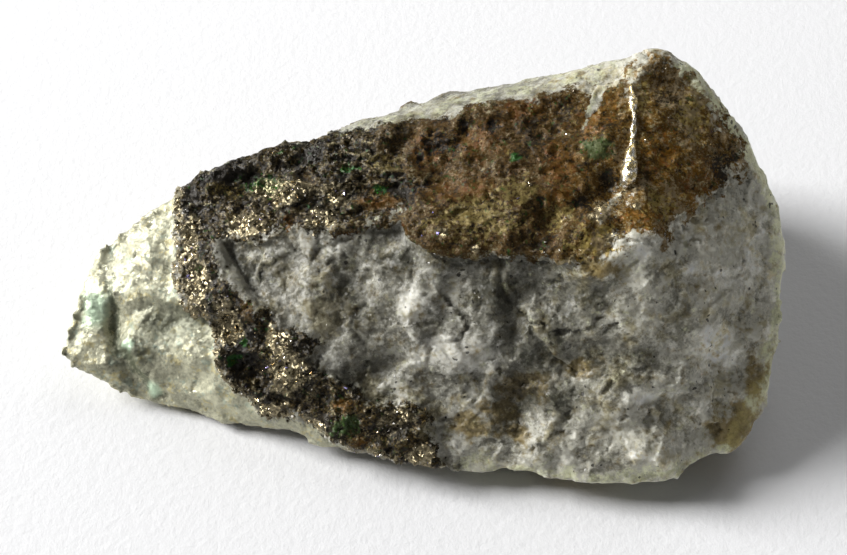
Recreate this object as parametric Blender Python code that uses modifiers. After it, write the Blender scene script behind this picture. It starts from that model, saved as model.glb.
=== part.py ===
"""Mohawkite specimen: one broken stone of copper arsenide ore in quartz, about 42 mm long.

The stone lies on a flat fracture at z = 0, with its length along X and its show face towards -Y.
It is a block between fracture planes, given by the corners where they meet. Relief is then worked
into the block: the ore seam stands proud of the quartz and of the fresh break at the narrow end,
and every face has the hollows, lumps, steps and chips of broken rock. Sizes are in millimetres,
and MM turns them into Blender's metres.
"""

import math

import bmesh
import bpy
import numpy as np
from mathutils import Vector, noise

MM = 0.001
UP = Vector((0.0, 0.0, 1.0))

# Corners of the block: x along the stone, y away from the show face, z up.
NARROW_END = [
    (-21.0, -4.0, 3.2), (-19.1, 1.5, 6.0), (-16.4, 2.8, 7.3),
    (-17.9, -4.3, 2.0), (-19.8, -2.9, 1.7), (-18.2, 2.2, 2.2),
]
CREST = [
    (-12.7, 4.1, 9.5), (-9.5, 4.7, 10.9), (-6.4, 4.5, 11.7), (-2.3, 5.0, 12.8), (2.6, 4.7, 14.3),
    (4.7, 4.9, 15.0), (9.4, 5.0, 16.0), (11.9, 5.0, 16.6), (13.7, 7.0, 17.0),
]
BACK_RIM = [(-1.0, 7.2, 11.8), (3.0, 8.3, 12.6), (6.1, 8.1, 13.6), (10.1, 7.7, 15.0)]
SEAM_FOOT = [(-10.1, 0.2, 8.8), (0.3, -2.3, 10.8), (4.6, -3.0, 11.3), (9.3, -4.2, 11.2), (12.7, -3.0, 12.3)]
THICK_END = [
    (16.0, 6.5, 15.6), (18.4, 4.2, 13.8), (19.5, 2.8, 12.2), (20.6, 1.6, 10.0),
    (21.0, -1.9, 8.0), (20.8, -4.6, 5.8), (19.8, -7.8, 3.0), (17.9, -9.9, 2.4),
]
BREAK_EDGE = [(-13.8, 3.8, 9.0), (-12.4, -2.9, 6.6), (-10.8, -6.3, 4.3), (-6.2, -8.1, 2.4)]
FRONT_FOOT = [
    (13.6, -12.0, 2.2), (10.4, -12.2, 2.3), (7.1, -11.5, 2.2), (1.7, -11.1, 1.9), (-3.1, -9.3, 1.3),
    (-8.3, -7.4, 0.8), (-12.6, -6.2, 0.8), (-14.9, -6.0, 1.0),
]
BACK_FACE = [(-9.0, 9.5, 4.5), (0.0, 12.2, 5.5), (8.0, 13.6, 6.0), (15.0, 13.2, 6.5), (19.6, 7.5, 5.0)]
BASE = [
    (-14.5, -4.4, 0.0), (-5.0, -7.4, 0.0), (4.0, -8.6, 0.0), (12.0, -9.0, 0.0), (16.2, -7.0, 0.0),
    (18.6, 0.5, 0.0), (15.5, 11.0, 0.0), (7.0, 12.2, 0.0), (-4.0, 10.6, 0.0), (-12.5, 5.0, 0.0),
]
CORNER_GROUPS = [NARROW_END, CREST, BACK_RIM, SEAM_FOOT, THICK_END, BREAK_EDGE, FRONT_FOOT, BACK_FACE, BASE]

# The show face leans back from the vertical by this much. Its own plane has s along X and t up the
# face, and the outlines below are drawn in it.
FACE_LEAN = math.radians(40.0)
FACE_UP = Vector((0.0, math.cos(FACE_LEAN), math.sin(FACE_LEAN)))
FACE_OUT = Vector((0.0, -math.sin(FACE_LEAN), math.cos(FACE_LEAN)))

# The ore seam's outline on the show face: along the crest, back along the quartz, and round the
# strip of ore that runs down beside the fresh break.
ORE_CREST = [
    (-12.7, 9.4), (-11.0, 10.1), (-9.5, 10.8), (-6.6, 11.4), (-4.4, 12.0), (-0.9, 12.4), (2.2, 12.7),
    (2.8, 13.3), (6.3, 13.4), (8.5, 14.1), (9.7, 14.0), (11.9, 14.9), (13.0, 15.8), (14.2, 16.1),
    (15.6, 14.4), (17.0, 12.7), (18.4, 10.9),
]
ORE_ON_QUARTZ = [
    (18.3, 9.6), (16.7, 8.4), (14.8, 7.1), (13.5, 5.7), (12.0, 5.3), (11.0, 4.5), (10.6, 3.4), (9.3, 3.0),
    (7.8, 4.3), (5.7, 4.8), (3.0, 4.8), (0.5, 4.9), (-0.8, 6.3), (-2.4, 6.2), (-4.4, 5.9), (-6.7, 6.4),
    (-8.7, 5.8), (-10.8, 5.9),
]
ORE_STRIP = [
    (-11.0, 4.7), (-9.2, 2.3), (-7.6, 1.0), (-5.2, 0.1), (-6.3, -1.2), (-4.2, -2.2), (-2.4, -3.4),
    (0.3, -3.5), (0.9, -5.0), (1.6, -7.2),
]
ORE_ON_BREAK = [
    (0.2, -7.3), (-1.2, -6.6), (-3.7, -6.1), (-5.1, -4.9), (-8.5, -3.9), (-10.2, -2.8), (-11.3, -1.5),
    (-11.3, 0.6), (-11.6, 1.5), (-13.4, 2.1), (-13.5, 3.3), (-13.8, 5.7), (-13.8, 8.9),
]
ORE_OUTLINE = ORE_CREST + ORE_ON_QUARTZ + ORE_STRIP + ORE_ON_BREAK
# How far the ore stands out of its surroundings, by s along the face.
STEP_PLACES = [-14.0, -11.0, -6.0, -1.0, 8.5, 12.0, 17.0]
STEP_HEIGHTS = [0.95, 0.7, 0.45, 0.8, 0.8, 0.4, 0.25]
STEP_WIDTH = 0.3
RAGGEDNESS = 0.35
RAGGED_SIZE = 1.1

# Rounded lumps on the show face: centre s, t; half width and half height; height. A lump's foot
# spreads to LUMP_FOOT times its half sizes.
LUMP_FOOT = 1.6
LUMPS = [
    (-5.8, 2.2, 1.2, 1.4, 0.5), (0.2, 1.7, 1.1, 2.1, 0.6), (2.4, -0.8, 1.3, 1.3, 0.5),
    (15.4, 1.4, 1.6, 1.3, 0.55), (10.6, -3.1, 1.6, 1.4, 0.55), (12.6, -6.0, 2.2, 1.0, 0.5),
    (7.6, -5.8, 1.6, 1.1, 0.45), (13.3, 3.6, 1.8, 1.1, 0.45), (4.3, 2.0, 0.7, 2.2, 0.45),
    (-7.0, 8.9, 0.8, 1.3, 0.55), (10.2, 10.6, 1.3, 0.9, 0.4), (5.2, 6.3, 3.0, 0.8, 0.45),
    (14.6, 11.0, 2.0, 2.2, 0.35), (-4.7, 8.9, 1.3, 0.5, 0.4), (-6.9, -2.2, 1.1, 0.9, 0.45),
    (-15.2, 4.9, 1.7, 1.2, 0.4), (-12.6, -0.4, 1.0, 1.6, 0.35),
]
# Sharp-rimmed hollows on the show face: centre s, t; half width and half height; depth.
HOLLOWS = [
    (6.8, 2.9, 2.6, 1.9, 0.75), (5.6, -3.3, 1.5, 2.2, 0.8), (-3.6, 3.3, 1.7, 2.0, 0.55),
    (9.9, -0.9, 2.2, 1.3, 0.45), (17.3, -1.7, 1.6, 2.6, 0.5), (-1.7, -1.3, 1.6, 1.2, 0.5),
    (-6.8, 4.0, 0.9, 1.4, 0.35), (2.6, 3.4, 1.4, 1.1, 0.35), (13.2, -0.8, 1.5, 1.2, 0.4),
    (13.8, -3.6, 1.6, 1.2, 0.35), (2.0, -4.6, 1.3, 1.3, 0.4), (10.6, 8.1, 1.2, 1.2, 0.9),
    (-9.3, 8.7, 1.9, 0.8, 0.5), (7.4, 6.8, 0.9, 1.1, 0.45), (1.2, 9.3, 1.7, 1.6, 0.35),
    (-9.0, -1.8, 1.6, 1.1, 0.35), (-1.9, -4.9, 1.5, 0.8, 0.4), (13.8, 7.4, 1.5, 1.0, 0.3),
    (-12.3, 7.0, 0.9, 1.5, 0.35), (-17.8, 5.0, 1.4, 1.5, 0.4), (-13.2, -2.2, 1.9, 1.0, 0.4),
    (-17.2, 0.9, 0.8, 1.1, 0.3),
]
# Ledges on the show face: the surface drops to the right of each path, steeply within LEDGE_FRONT,
# and comes back level at the reach. Each entry is a path, its drop and that reach.
LEDGES = [
    ([(4.6, 4.8), (4.8, 2.4), (6.0, 0.9), (7.3, -0.9), (8.4, -1.3)], 0.5, 2.0),
    ([(-18.2, 2.0), (-16.0, 2.2), (-13.6, 2.1), (-11.8, 1.7)], 0.55, 3.0),
    ([(-5.9, 8.2), (-3.8, 8.6), (-1.4, 9.1)], 0.35, 1.0),
    ([(-5.2, 7.2), (-3.0, 7.6), (-0.7, 8.1)], 0.35, 1.0),
    ([(2.6, 6.5), (5.0, 6.9), (7.2, 6.6)], 0.3, 0.9),
    ([(-6.5, 11.6), (-6.0, 10.2), (-5.6, 9.0)], 0.35, 1.2),
    ([(2.9, 10.4), (2.4, 11.6), (2.7, 12.8)], 0.35, 1.6),
]
LEDGE_FRONT = 0.3
LEDGE_END = 0.8
# The groove that crosses the fresh break.
BREAK_GROOVE = [(-18.6, 2.2), (-17.8, 0.8), (-17.2, -0.9), (-16.2, -2.6), (-15.1, -4.0)]
GROOVE_DEPTH = 0.5
GROOVE_WIDTH = 0.9

# Shell-shaped scars where flakes broke off the back. Their radii are in millimetres, and their
# depths are shares of the radius.
SCARS = 40
SCAR_RADII = (1.2, 3.8)
SCAR_SHARES = (0.12, 0.24)
SEED = 7

# Fracture facets and roughness over the whole stone, and how much calmer two of its sides are.
FACET_SIZE = 5.5
FACET_TILT = 0.085
SMALL_FACET_SIZE = 2.1
SMALL_FACET_TILT = 0.09
CELLS_APART = 7.3
ROUGHNESS = 0.17
ROUGHNESS_SIZE = 1.5
NOISE_OCTAVES = 3
SHOW_FACE_CALM = 0.45
BASE_CALM = 0.25
ELSEWHERE = 37.0

# A side counts by how far it faces the viewer, faces away or faces down, from not at all to fully.
SHOWN = (0.05, 0.35)
HIDDEN = (0.0, 0.3)
RESTING = (0.6, 0.95)

# The skin's face size, the rounds of smoothing that blunt its edges, and the triangles kept at the end.
VOXEL = 0.33
BLUNTING = 2
TRIANGLES = 8600
# The base is cut off flat this far up. Points within ON_PLANE metres of the cut count as on it.
BASE_CUT = 0.1
ON_PLANE = 1e-7


def clear_scene():
    for obj in list(bpy.data.objects):
        bpy.data.objects.remove(obj)


def block(name, collection):
    """The stone before any relief: the convex hull of its corners."""
    shape = bmesh.new()
    for group in CORNER_GROUPS:
        for corner in group:
            shape.verts.new(Vector(corner) * MM)
    hull = bmesh.ops.convex_hull(shape, input=shape.verts)
    bmesh.ops.delete(shape, geom=list({*hull["geom_interior"], *hull["geom_unused"]}), context="VERTS")
    bmesh.ops.recalc_face_normals(shape, faces=shape.faces)
    mesh = bpy.data.meshes.new(name)
    shape.to_mesh(mesh)
    shape.free()
    obj = bpy.data.objects.new(name, mesh)
    collection.objects.link(obj)
    return obj


def bake_modifiers(obj):
    """Replaces the object's mesh with what its modifiers make of it, and drops them."""
    graph = bpy.context.evaluated_depsgraph_get()
    graph.update()
    made = bpy.data.meshes.new_from_object(obj.evaluated_get(graph))
    obj.modifiers.clear()
    obj.data = made


def fine_skin(obj):
    """Covers the block with small even faces, which the relief can move, and blunts its edges."""
    remesh = obj.modifiers.new("even faces", "REMESH")
    remesh.mode = "VOXEL"
    remesh.voxel_size = VOXEL * MM
    blunt = obj.modifiers.new("blunt edges", "SMOOTH")
    blunt.iterations = BLUNTING
    bake_modifiers(obj)


def smooth_step(value, low, high):
    share = np.clip((value - low) / (high - low), 0.0, 1.0)
    return share * share * (3.0 - 2.0 * share)


def run_distances(points, start, end):
    """Distance of each point to a straight run, and the side it lies on: above 0 is to the left."""
    run = np.subtract(end, start)
    offset = points - start
    share = np.clip(offset @ run / (run @ run), 0.0, 1.0)
    distance = np.linalg.norm(offset - share[:, None] * run, axis=1)
    return distance, run[0] * offset[:, 1] - run[1] * offset[:, 0]


def path_distances(points, path):
    """Distance of each point to the path, below zero to its right."""
    nearest = np.full(len(points), np.inf)
    side = np.ones(len(points))
    for start, end in zip(path, path[1:]):
        distance, left = run_distances(points, start, end)
        closer = distance < nearest
        nearest[closer] = distance[closer]
        side[closer] = np.where(left[closer] < 0.0, -1.0, 1.0)
    return nearest * side


def outline_depths(points, outline):
    """How far inside the closed outline each point lies, below zero outside it."""
    nearest = np.full(len(points), np.inf)
    inside = np.zeros(len(points), bool)
    for start, end in zip(outline, outline[1:] + outline[:1]):
        distance, left = run_distances(points, start, end)
        nearest = np.minimum(nearest, distance)
        crosses = (points[:, 1] < start[1]) != (points[:, 1] < end[1])
        inside ^= crosses & ((left < 0.0) == (start[1] < end[1]))
    return np.where(inside, nearest, -nearest)


def reach_from(points, s, t, half_width, half_height):
    """0 at the middle of an oval on the face and 1 at its rim."""
    return np.hypot((points[:, 0] - s) / half_width, (points[:, 1] - t) / half_height)


def noise_at(places, size):
    """Smooth noise of about -1 to 1 whose largest lumps are about size across."""
    return np.array([noise.fractal(Vector(p) / size, 1.0, 2.0, NOISE_OCTAVES) for p in places])


def ragged(face):
    """The face points shifted a little by noise, so that an outline drawn with them has a broken edge."""
    flat = np.column_stack([face, np.zeros(len(face))])
    along = noise_at(flat, RAGGED_SIZE)
    across = noise_at(flat + ELSEWHERE, RAGGED_SIZE)
    return face + RAGGEDNESS * np.stack([along, across], 1)


def facets(places, size, tilt):
    """Flat fracture facets about size across, each tilted its own way. Steps are left between them."""
    heights = []
    for place in places:
        _, middles = noise.voronoi(Vector(place) / size)
        middle = middles[0]
        lean = (2.0 * noise.cell_vector(middle * CELLS_APART) - Vector((1.0, 1.0, 1.0))) * tilt
        heights.append(lean.dot(Vector(place) - middle * size))
    return np.array(heights)


def face_relief(face):
    """Height of the show face's own forms at each point, along FACE_OUT."""
    torn = ragged(face)
    ore = smooth_step(outline_depths(torn, ORE_OUTLINE), -STEP_WIDTH, STEP_WIDTH)
    height = (ore - 1.0) * np.interp(face[:, 0], STEP_PLACES, STEP_HEIGHTS)
    for *oval, rise in LUMPS:
        height += rise * (1.0 - smooth_step(reach_from(torn, *oval), 0.0, LUMP_FOOT))
    for *oval, depth in HOLLOWS:
        height -= depth * np.maximum(0.0, 1.0 - reach_from(torn, *oval) ** 2)
    for path, drop, reach in LEDGES:
        side = path_distances(torn, path)
        below = smooth_step(-side, 0.0, LEDGE_FRONT) * (1.0 - smooth_step(-side, LEDGE_FRONT, reach))
        for end in (path[0], path[-1]):
            below *= smooth_step(np.linalg.norm(torn - end, axis=1), 0.0, LEDGE_END)
        height -= drop * below
    groove = 1.0 - smooth_step(np.abs(path_distances(torn, BREAK_GROOVE)), 0.0, GROOVE_WIDTH)
    return height - GROOVE_DEPTH * groove


def outward_directions(mesh, places):
    """The unit direction out of the skin at each point, from the four-sided faces round it."""
    corners = np.array([face.vertices for face in mesh.polygons])
    a, b, c, d = (places[corners[:, corner]] for corner in range(4))
    facing = np.cross(c - a, d - b)
    outward = np.zeros_like(places)
    for corner in range(4):
        np.add.at(outward, corners[:, corner], facing)
    return outward / np.linalg.norm(outward, axis=1)[:, None]


def scars(places, outward, hidden):
    """How far the flake scars move each point: out of the balls whose lower parts are the scars."""
    chance = np.random.default_rng(SEED)
    scarred = places.copy()
    for spot in chance.choice(np.flatnonzero(hidden > 0.5), SCARS):
        radius = chance.uniform(*SCAR_RADII)
        depth = radius * chance.uniform(*SCAR_SHARES)
        ball = (radius**2 + depth**2) / (2.0 * depth)
        centre = scarred[spot] + outward[spot] * (ball - depth)
        away = scarred - centre
        distance = np.linalg.norm(away, axis=1)
        inside = distance < ball
        scarred[inside] = centre + away[inside] * (ball / distance[inside])[:, None]
    return hidden[:, None] * (scarred - places)


def work_relief(obj):
    """Moves the skin's points by the relief of the show face and the fractures of the whole stone."""
    vertices = obj.data.vertices
    places = np.array([v.co for v in vertices]) / MM
    outward = outward_directions(obj.data, places)
    towards_viewer = outward @ np.array(FACE_OUT)
    face = np.stack([places[:, 0], places @ np.array(FACE_UP)], 1)
    shown = smooth_step(towards_viewer, *SHOWN)
    resting = smooth_step(-outward[:, 2], *RESTING)
    hidden = smooth_step(-towards_viewer, *HIDDEN) * (1.0 - resting)

    rough = facets(places, FACET_SIZE, FACET_TILT)
    rough += facets(places + ELSEWHERE, SMALL_FACET_SIZE, SMALL_FACET_TILT)
    rough += ROUGHNESS * noise_at(places, ROUGHNESS_SIZE)
    rough *= (1.0 - SHOW_FACE_CALM * shown) * (1.0 - BASE_CALM * resting)
    moved = places + scars(places, outward, hidden) + rough[:, None] * outward
    moved += (shown * face_relief(face))[:, None] * np.array(FACE_OUT)
    vertices.foreach_set("co", (moved * MM).ravel())
    obj.data.update()


def thin_out(obj):
    """Keeps the faces where the shape needs them, down to the stone's triangle count."""
    quads = len(obj.data.polygons)
    decimate = obj.modifiers.new("fewer faces", "DECIMATE")
    decimate.ratio = TRIANGLES / (2 * quads)
    bake_modifiers(obj)


def cut_base(obj):
    """Cuts the stone off flat at its resting fracture."""
    shape = bmesh.new()
    shape.from_mesh(obj.data)
    everything = [*shape.verts, *shape.edges, *shape.faces]
    level = UP * BASE_CUT * MM
    cut = bmesh.ops.bisect_plane(
        shape, geom=everything, plane_co=level, plane_no=UP, dist=ON_PLANE, clear_inner=True
    )
    rim = [item for item in cut["geom_cut"] if isinstance(item, bmesh.types.BMEdge)]
    base = bmesh.ops.triangle_fill(shape, edges=rim, use_beauty=True)
    print(len(rim), "edges round the base,", len(base["geom"]), "items in it")
    bmesh.ops.recalc_face_normals(shape, faces=shape.faces)
    shape.to_mesh(obj.data)
    shape.free()


def stand_on_origin(obj):
    """Puts the origin at the middle of the stone's box, on its base."""
    places = np.array([v.co for v in obj.data.vertices])
    low, high = places.min(0), places.max(0)
    middle = (low + high) / 2.0
    middle[2] = low[2]
    obj.data.vertices.foreach_set("co", (places - middle).ravel())
    obj.data.update()
    print("moved by", middle / MM, "size", (high - low) / MM)


def ore_material():
    material = bpy.data.materials.new("mohawkite in quartz")
    material.use_nodes = True
    surface = material.node_tree.nodes["Principled BSDF"]
    surface.inputs["Base Color"].default_value = (0.30, 0.27, 0.24, 1.0)
    surface.inputs["Roughness"].default_value = 0.55
    surface.inputs["Metallic"].default_value = 0.0
    return material


clear_scene()
specimen = bpy.data.collections.new("Mohawkite specimen")
bpy.context.scene.collection.children.link(specimen)
stone = block("mohawkite_stone", specimen)
fine_skin(stone)
work_relief(stone)
thin_out(stone)
cut_base(stone)
stand_on_origin(stone)
stone.data.materials.append(ore_material())
stone.data.shade_flat()
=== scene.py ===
# %% [markdown]
# # A mohawkite specimen
#
# A hand specimen about 42 mm long: a seam of tarnished copper arsenide ore on sugary vein quartz,
# with a pale fresh break at its narrow end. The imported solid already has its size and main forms.
# This script gives that solid its real skin: fine fracture relief, grains that stand out of the
# surface, bright metal, a green crust, and one finish that changes from quartz to ore to fresh metal.

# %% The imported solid
import math

import bmesh
import bpy
import numpy as np
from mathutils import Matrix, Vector, noise
from mathutils.bvhtree import BVHTree


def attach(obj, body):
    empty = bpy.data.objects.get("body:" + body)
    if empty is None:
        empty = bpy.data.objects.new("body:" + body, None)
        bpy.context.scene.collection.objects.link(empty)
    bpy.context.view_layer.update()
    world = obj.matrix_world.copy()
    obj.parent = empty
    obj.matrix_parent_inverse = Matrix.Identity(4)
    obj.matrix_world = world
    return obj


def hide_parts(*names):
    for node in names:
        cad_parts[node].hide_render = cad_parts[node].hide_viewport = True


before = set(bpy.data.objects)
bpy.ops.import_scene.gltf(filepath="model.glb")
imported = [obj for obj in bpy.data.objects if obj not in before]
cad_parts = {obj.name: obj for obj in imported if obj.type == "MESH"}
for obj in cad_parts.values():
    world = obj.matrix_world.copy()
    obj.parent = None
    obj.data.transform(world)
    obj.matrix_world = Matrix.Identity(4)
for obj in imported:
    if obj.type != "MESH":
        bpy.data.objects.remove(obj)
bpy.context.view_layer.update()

# %% [markdown]
# ## Directions on the stone
#
# The show face leans back by 40 degrees. Everything on it is placed by two numbers in millimetres:
# s runs along the stone and t up the face, as on a drawing pinned to it. The drawing's zero isn't
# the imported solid's, so MOVED is added to a point of the solid before it is read on the drawing.

# %% Directions
MM = 0.001
MOVED = np.array([0.185, 0.765, 0.1])
FACE_LEAN = math.radians(40.0)
FACE_UP = np.array([0.0, math.cos(FACE_LEAN), math.sin(FACE_LEAN)])
FACE_OUT = np.array([0.0, -math.sin(FACE_LEAN), math.cos(FACE_LEAN)])
ELSEWHERE = 37.0


def smooth_step(value, low, high):
    share = np.clip((value - low) / (high - low), 0.0, 1.0)
    return share * share * (3.0 - 2.0 * share)


def on_drawing(places):
    """The s and t of places in millimetres, one row each."""
    return np.stack([places[:, 0], places @ FACE_UP], 1)


# %% [markdown]
# ## A fine skin
#
# The solid has under nine thousand triangles, which is right for collision and too coarse for a
# close-up. One could subdivide it, but its triangles are uneven. A voxel remesh covers it with even
# squares instead, and the squares that the viewer sees best are split once more. The solid itself
# stays untouched: its loose triangles are merged in a copy.

# %% The skin
SKIN_SQUARE = 0.28
SKIN_SMOOTHING = 1
SPLIT_FACING = 0.12
MERGE = 1e-7


def in_scene(name, data):
    """A new object with that mesh, curve, light or camera, in the scene."""
    obj = bpy.data.objects.new(name, data)
    bpy.context.scene.collection.objects.link(obj)
    return obj


def merged_copy(node, name):
    """A new object with the node's shape, its loose triangles joined up."""
    shape = bmesh.new()
    shape.from_mesh(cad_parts[node].data)
    bmesh.ops.remove_doubles(shape, verts=shape.verts, dist=MERGE)
    mesh = bpy.data.meshes.new(name)
    shape.to_mesh(mesh)
    shape.free()
    return in_scene(name, mesh)


def bake_modifiers(obj):
    """Puts what the modifiers make of the object into its mesh, and drops them."""
    graph = bpy.context.evaluated_depsgraph_get()
    graph.update()
    made = bpy.data.meshes.new_from_object(obj.evaluated_get(graph))
    obj.modifiers.clear()
    obj.data = made


def split_shown_faces(obj):
    """Splits each face that looks out of the show side into four."""
    shape = bmesh.new()
    shape.from_mesh(obj.data)
    shape.normal_update()
    out = Vector(FACE_OUT)
    shown = [face for face in shape.faces if face.normal.dot(out) > SPLIT_FACING]
    edges = list({edge for face in shown for edge in face.edges})
    bmesh.ops.subdivide_edges(shape, edges=edges, cuts=1, use_grid_fill=True)
    shape.to_mesh(obj.data)
    shape.free()


stone = merged_copy("mohawkite_stone", "vein_stone")
remesh = stone.modifiers.new("even squares", "REMESH")
remesh.mode = "VOXEL"
remesh.voxel_size = SKIN_SQUARE * MM
smoothing = stone.modifiers.new("smoothing", "SMOOTH")
smoothing.iterations = SKIN_SMOOTHING
bake_modifiers(stone)
split_shown_faces(stone)
print("skin", len(stone.data.vertices), "points,", len(stone.data.polygons), "faces")

# %% [markdown]
# ## Reading the skin
#
# Relief and finish both need to know where each point of the skin is, which way it faces, and which
# points are its neighbours. Averaging a value with its neighbours many times spreads it out. Done to
# the facing, that tells the show side from the hidden sides without minding each little ledge.

# %% Points, facing and neighbours
FACING_SPREAD = 24
SHOWN_FACING = (0.0, 0.3)
RESTING_FACING = (0.55, 0.9)


def points_of(mesh):
    """The mesh's points in the drawing's millimetres."""
    flat = np.empty(3 * len(mesh.vertices))
    mesh.vertices.foreach_get("co", flat)
    return flat.reshape(-1, 3) / MM + MOVED


def facing_of(mesh):
    """The way out of the skin at each point."""
    flat = np.empty(3 * len(mesh.vertices))
    mesh.vertex_normals.foreach_get("vector", flat)
    return flat.reshape(-1, 3)


def spread(mesh, values, rounds):
    """The values averaged with their neighbours, round after round."""
    ends = np.empty(2 * len(mesh.edges), int)
    mesh.edges.foreach_get("vertices", ends)
    first, second = ends.reshape(-1, 2).T
    count = np.bincount(ends, minlength=len(values))
    for _ in range(rounds):
        total = np.zeros_like(values)
        np.add.at(total, first, values[second])
        np.add.at(total, second, values[first])
        values = (values + total / np.maximum(count, 1).reshape([-1] + [1] * (values.ndim - 1))) / 2.0
    return values


places = points_of(stone.data)
outward = facing_of(stone.data)
near_facing = spread(stone.data, outward, FACING_SPREAD // 4)
wide_facing = spread(stone.data, outward, FACING_SPREAD)
wide_facing /= np.linalg.norm(wide_facing, axis=1)[:, None]
shown = smooth_step(wide_facing @ FACE_OUT, *SHOWN_FACING)
resting = smooth_step(-wide_facing[:, 2], *RESTING_FACING)
print("show side", round(100.0 * shown.mean()), "% of the points, resting", round(100.0 * resting.mean()), "%")

# %% [markdown]
# ## The seam's outline
#
# The ore lies on the quartz as a thin seam with a broken edge. Its outline is drawn once, the way the
# solid was drawn, and then torn by noise. Each point's depth inside the outline is kept rather than a
# plain yes or no, because both the relief and the finish want to know how near the edge is.

# %% Outlines
ORE_CREST = [
    (-12.7, 9.4), (-11.0, 10.1), (-9.5, 10.8), (-6.6, 11.4), (-4.4, 12.0), (-0.9, 12.4), (2.2, 12.7),
    (2.8, 13.3), (6.3, 13.4), (8.5, 14.1), (9.7, 14.0), (11.9, 14.9), (13.0, 15.8), (14.2, 16.1),
    (15.6, 14.4), (17.0, 12.7), (18.4, 10.9),
]
ORE_ON_QUARTZ = [
    (18.3, 9.6), (16.7, 8.4), (14.8, 7.1), (13.5, 5.7), (12.0, 5.8), (10.9, 5.6), (10.3, 4.8), (9.3, 4.1),
    (7.8, 4.4), (5.7, 4.8), (3.0, 4.8), (0.5, 4.9), (-0.8, 6.3), (-2.4, 6.2), (-4.4, 5.9), (-6.7, 6.4),
    (-8.7, 5.8), (-10.6, 6.0), (-11.8, 5.9),
]
ORE_STRIP = [
    (-11.4, 4.9), (-10.8, 3.6), (-9.9, 2.4), (-7.6, 1.0), (-5.2, 0.1), (-6.3, -1.2), (-4.2, -2.2),
    (-2.4, -3.4), (0.3, -3.5), (0.9, -5.0), (1.6, -7.2),
]
ORE_ON_BREAK = [
    (0.2, -7.3), (-1.2, -6.6), (-3.7, -6.1), (-5.1, -4.9), (-8.5, -3.9), (-10.2, -2.8), (-11.3, -1.5),
    (-11.3, 0.6), (-11.6, 1.5), (-13.4, 2.1), (-13.5, 3.3), (-13.8, 5.7), (-13.8, 8.9),
]
ORE_OUTLINE = ORE_CREST + ORE_ON_QUARTZ + ORE_STRIP + ORE_ON_BREAK
# The fresh break is all that lies beyond the seam's left edge.
BREAK_OUTLINE = ORE_ON_BREAK + [(-13.0, 12.0), (-25.0, 12.0), (-25.0, -12.0), (2.0, -9.0)]
# A wedge of quartz cuts through the seam, with three hair-thin threads, and a smooth rib borders it.
QUARTZ_WEDGE = [(10.4, 15.8), (11.3, 15.6), (10.7, 14.4), (9.9, 13.0), (9.0, 11.5), (9.4, 13.0), (9.9, 14.3)]
QUARTZ_HAIRS = [
    [(11.6, 15.6), (11.8, 14.2)], [(11.4, 8.4), (11.1, 8.0), (10.2, 7.2)],
    [(-2.6, 6.6), (-1.7, 7.1), (-0.8, 7.5)],
]
WEDGE_CRISPNESS = 4.0
HAIR_WIDTH = 0.11
RIB = [(-11.7, 5.9), (-11.2, 5.6), (-10.3, 4.4), (-9.5, 3.0), (-9.8, 2.6), (-10.8, 3.8)]
RIB_FOOT = [(-11.1, 5.7), (-10.15, 4.4), (-9.3, 2.9)]
RAGGEDNESS = 0.35
RAGGED_SIZE = 1.1
NOISE_OCTAVES = 3


def noise_at(points, size, octaves=NOISE_OCTAVES):
    """Smooth noise of about -1 to 1 whose largest lumps are about size across."""
    return np.array([noise.fractal(Vector(p) / size, 1.0, 2.0, octaves) for p in points])


def run_distances(points, start, end):
    """Distance of each point to a straight run, and the side it lies on: above 0 is to the left."""
    run = np.subtract(end, start)
    offset = points - start
    share = np.clip(offset @ run / (run @ run), 0.0, 1.0)
    distance = np.linalg.norm(offset - share[:, None] * run, axis=1)
    return distance, run[0] * offset[:, 1] - run[1] * offset[:, 0]


def outline_depths(points, outline):
    """How far inside the closed outline each point lies, below zero outside it."""
    nearest = np.full(len(points), np.inf)
    inside = np.zeros(len(points), bool)
    for start, end in zip(outline, outline[1:] + outline[:1]):
        distance, left = run_distances(points, start, end)
        nearest = np.minimum(nearest, distance)
        crosses = (points[:, 1] < start[1]) != (points[:, 1] < end[1])
        inside ^= crosses & ((left < 0.0) == (start[1] < end[1]))
    return np.where(inside, nearest, -nearest)


def path_distances(points, path):
    """Distance of each point to the nearest run of the path."""
    return np.min([run_distances(points, start, end)[0] for start, end in zip(path, path[1:])], axis=0)


def ragged(face):
    """The drawing's points shifted a little by noise, so that an outline on it has a broken edge."""
    flat = np.column_stack([face, np.zeros(len(face))])
    along = noise_at(flat, RAGGED_SIZE)
    across = noise_at(flat + ELSEWHERE, RAGGED_SIZE)
    return face + RAGGEDNESS * np.stack([along, across], 1)


face = on_drawing(places)
torn = ragged(face)
seam_drawn = outline_depths(torn, ORE_OUTLINE)
ore_drawn = np.minimum(seam_drawn, -WEDGE_CRISPNESS * outline_depths(0.7 * face + 0.3 * torn, QUARTZ_WEDGE))
for hair in QUARTZ_HAIRS:
    ore_drawn = np.minimum(ore_drawn, path_distances(face, hair) - HAIR_WIDTH)
rib_depth = outline_depths(0.2 * torn + 0.8 * face, RIB)
ore_drawn = np.minimum(ore_drawn, -rib_depth)
break_drawn = outline_depths(torn, BREAK_OUTLINE)
print("points on the ore", (ore_drawn > 0).sum(), "and on the break", (break_drawn > 0).sum())

# %% [markdown]
# ## The hidden sides
#
# A photograph shows one side. On the others the seam is taken to be as thin as it looks at the crest:
# it wraps over the edge by a millimetre or so and ends. The narrow end is solid metal all round, but
# tarnished at the back. The rest is quartz, with a few thin threads of ore running through it.

# %% Ore and break on every side
OVER_CREST = 1.3
CREST_FROM_BEHIND = [(-12.7, 9.5), (-6.4, 11.7), (-2.3, 12.8)]
BREAK_BORDER = (-0.05, 0.1)
BREAK_BEHIND = -13.5
BEHIND_WANDER = 1.6
THREAD_SIZE = 9.0
THREAD_WIDTH = 0.03
OUTSIDE = -2.0

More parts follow.
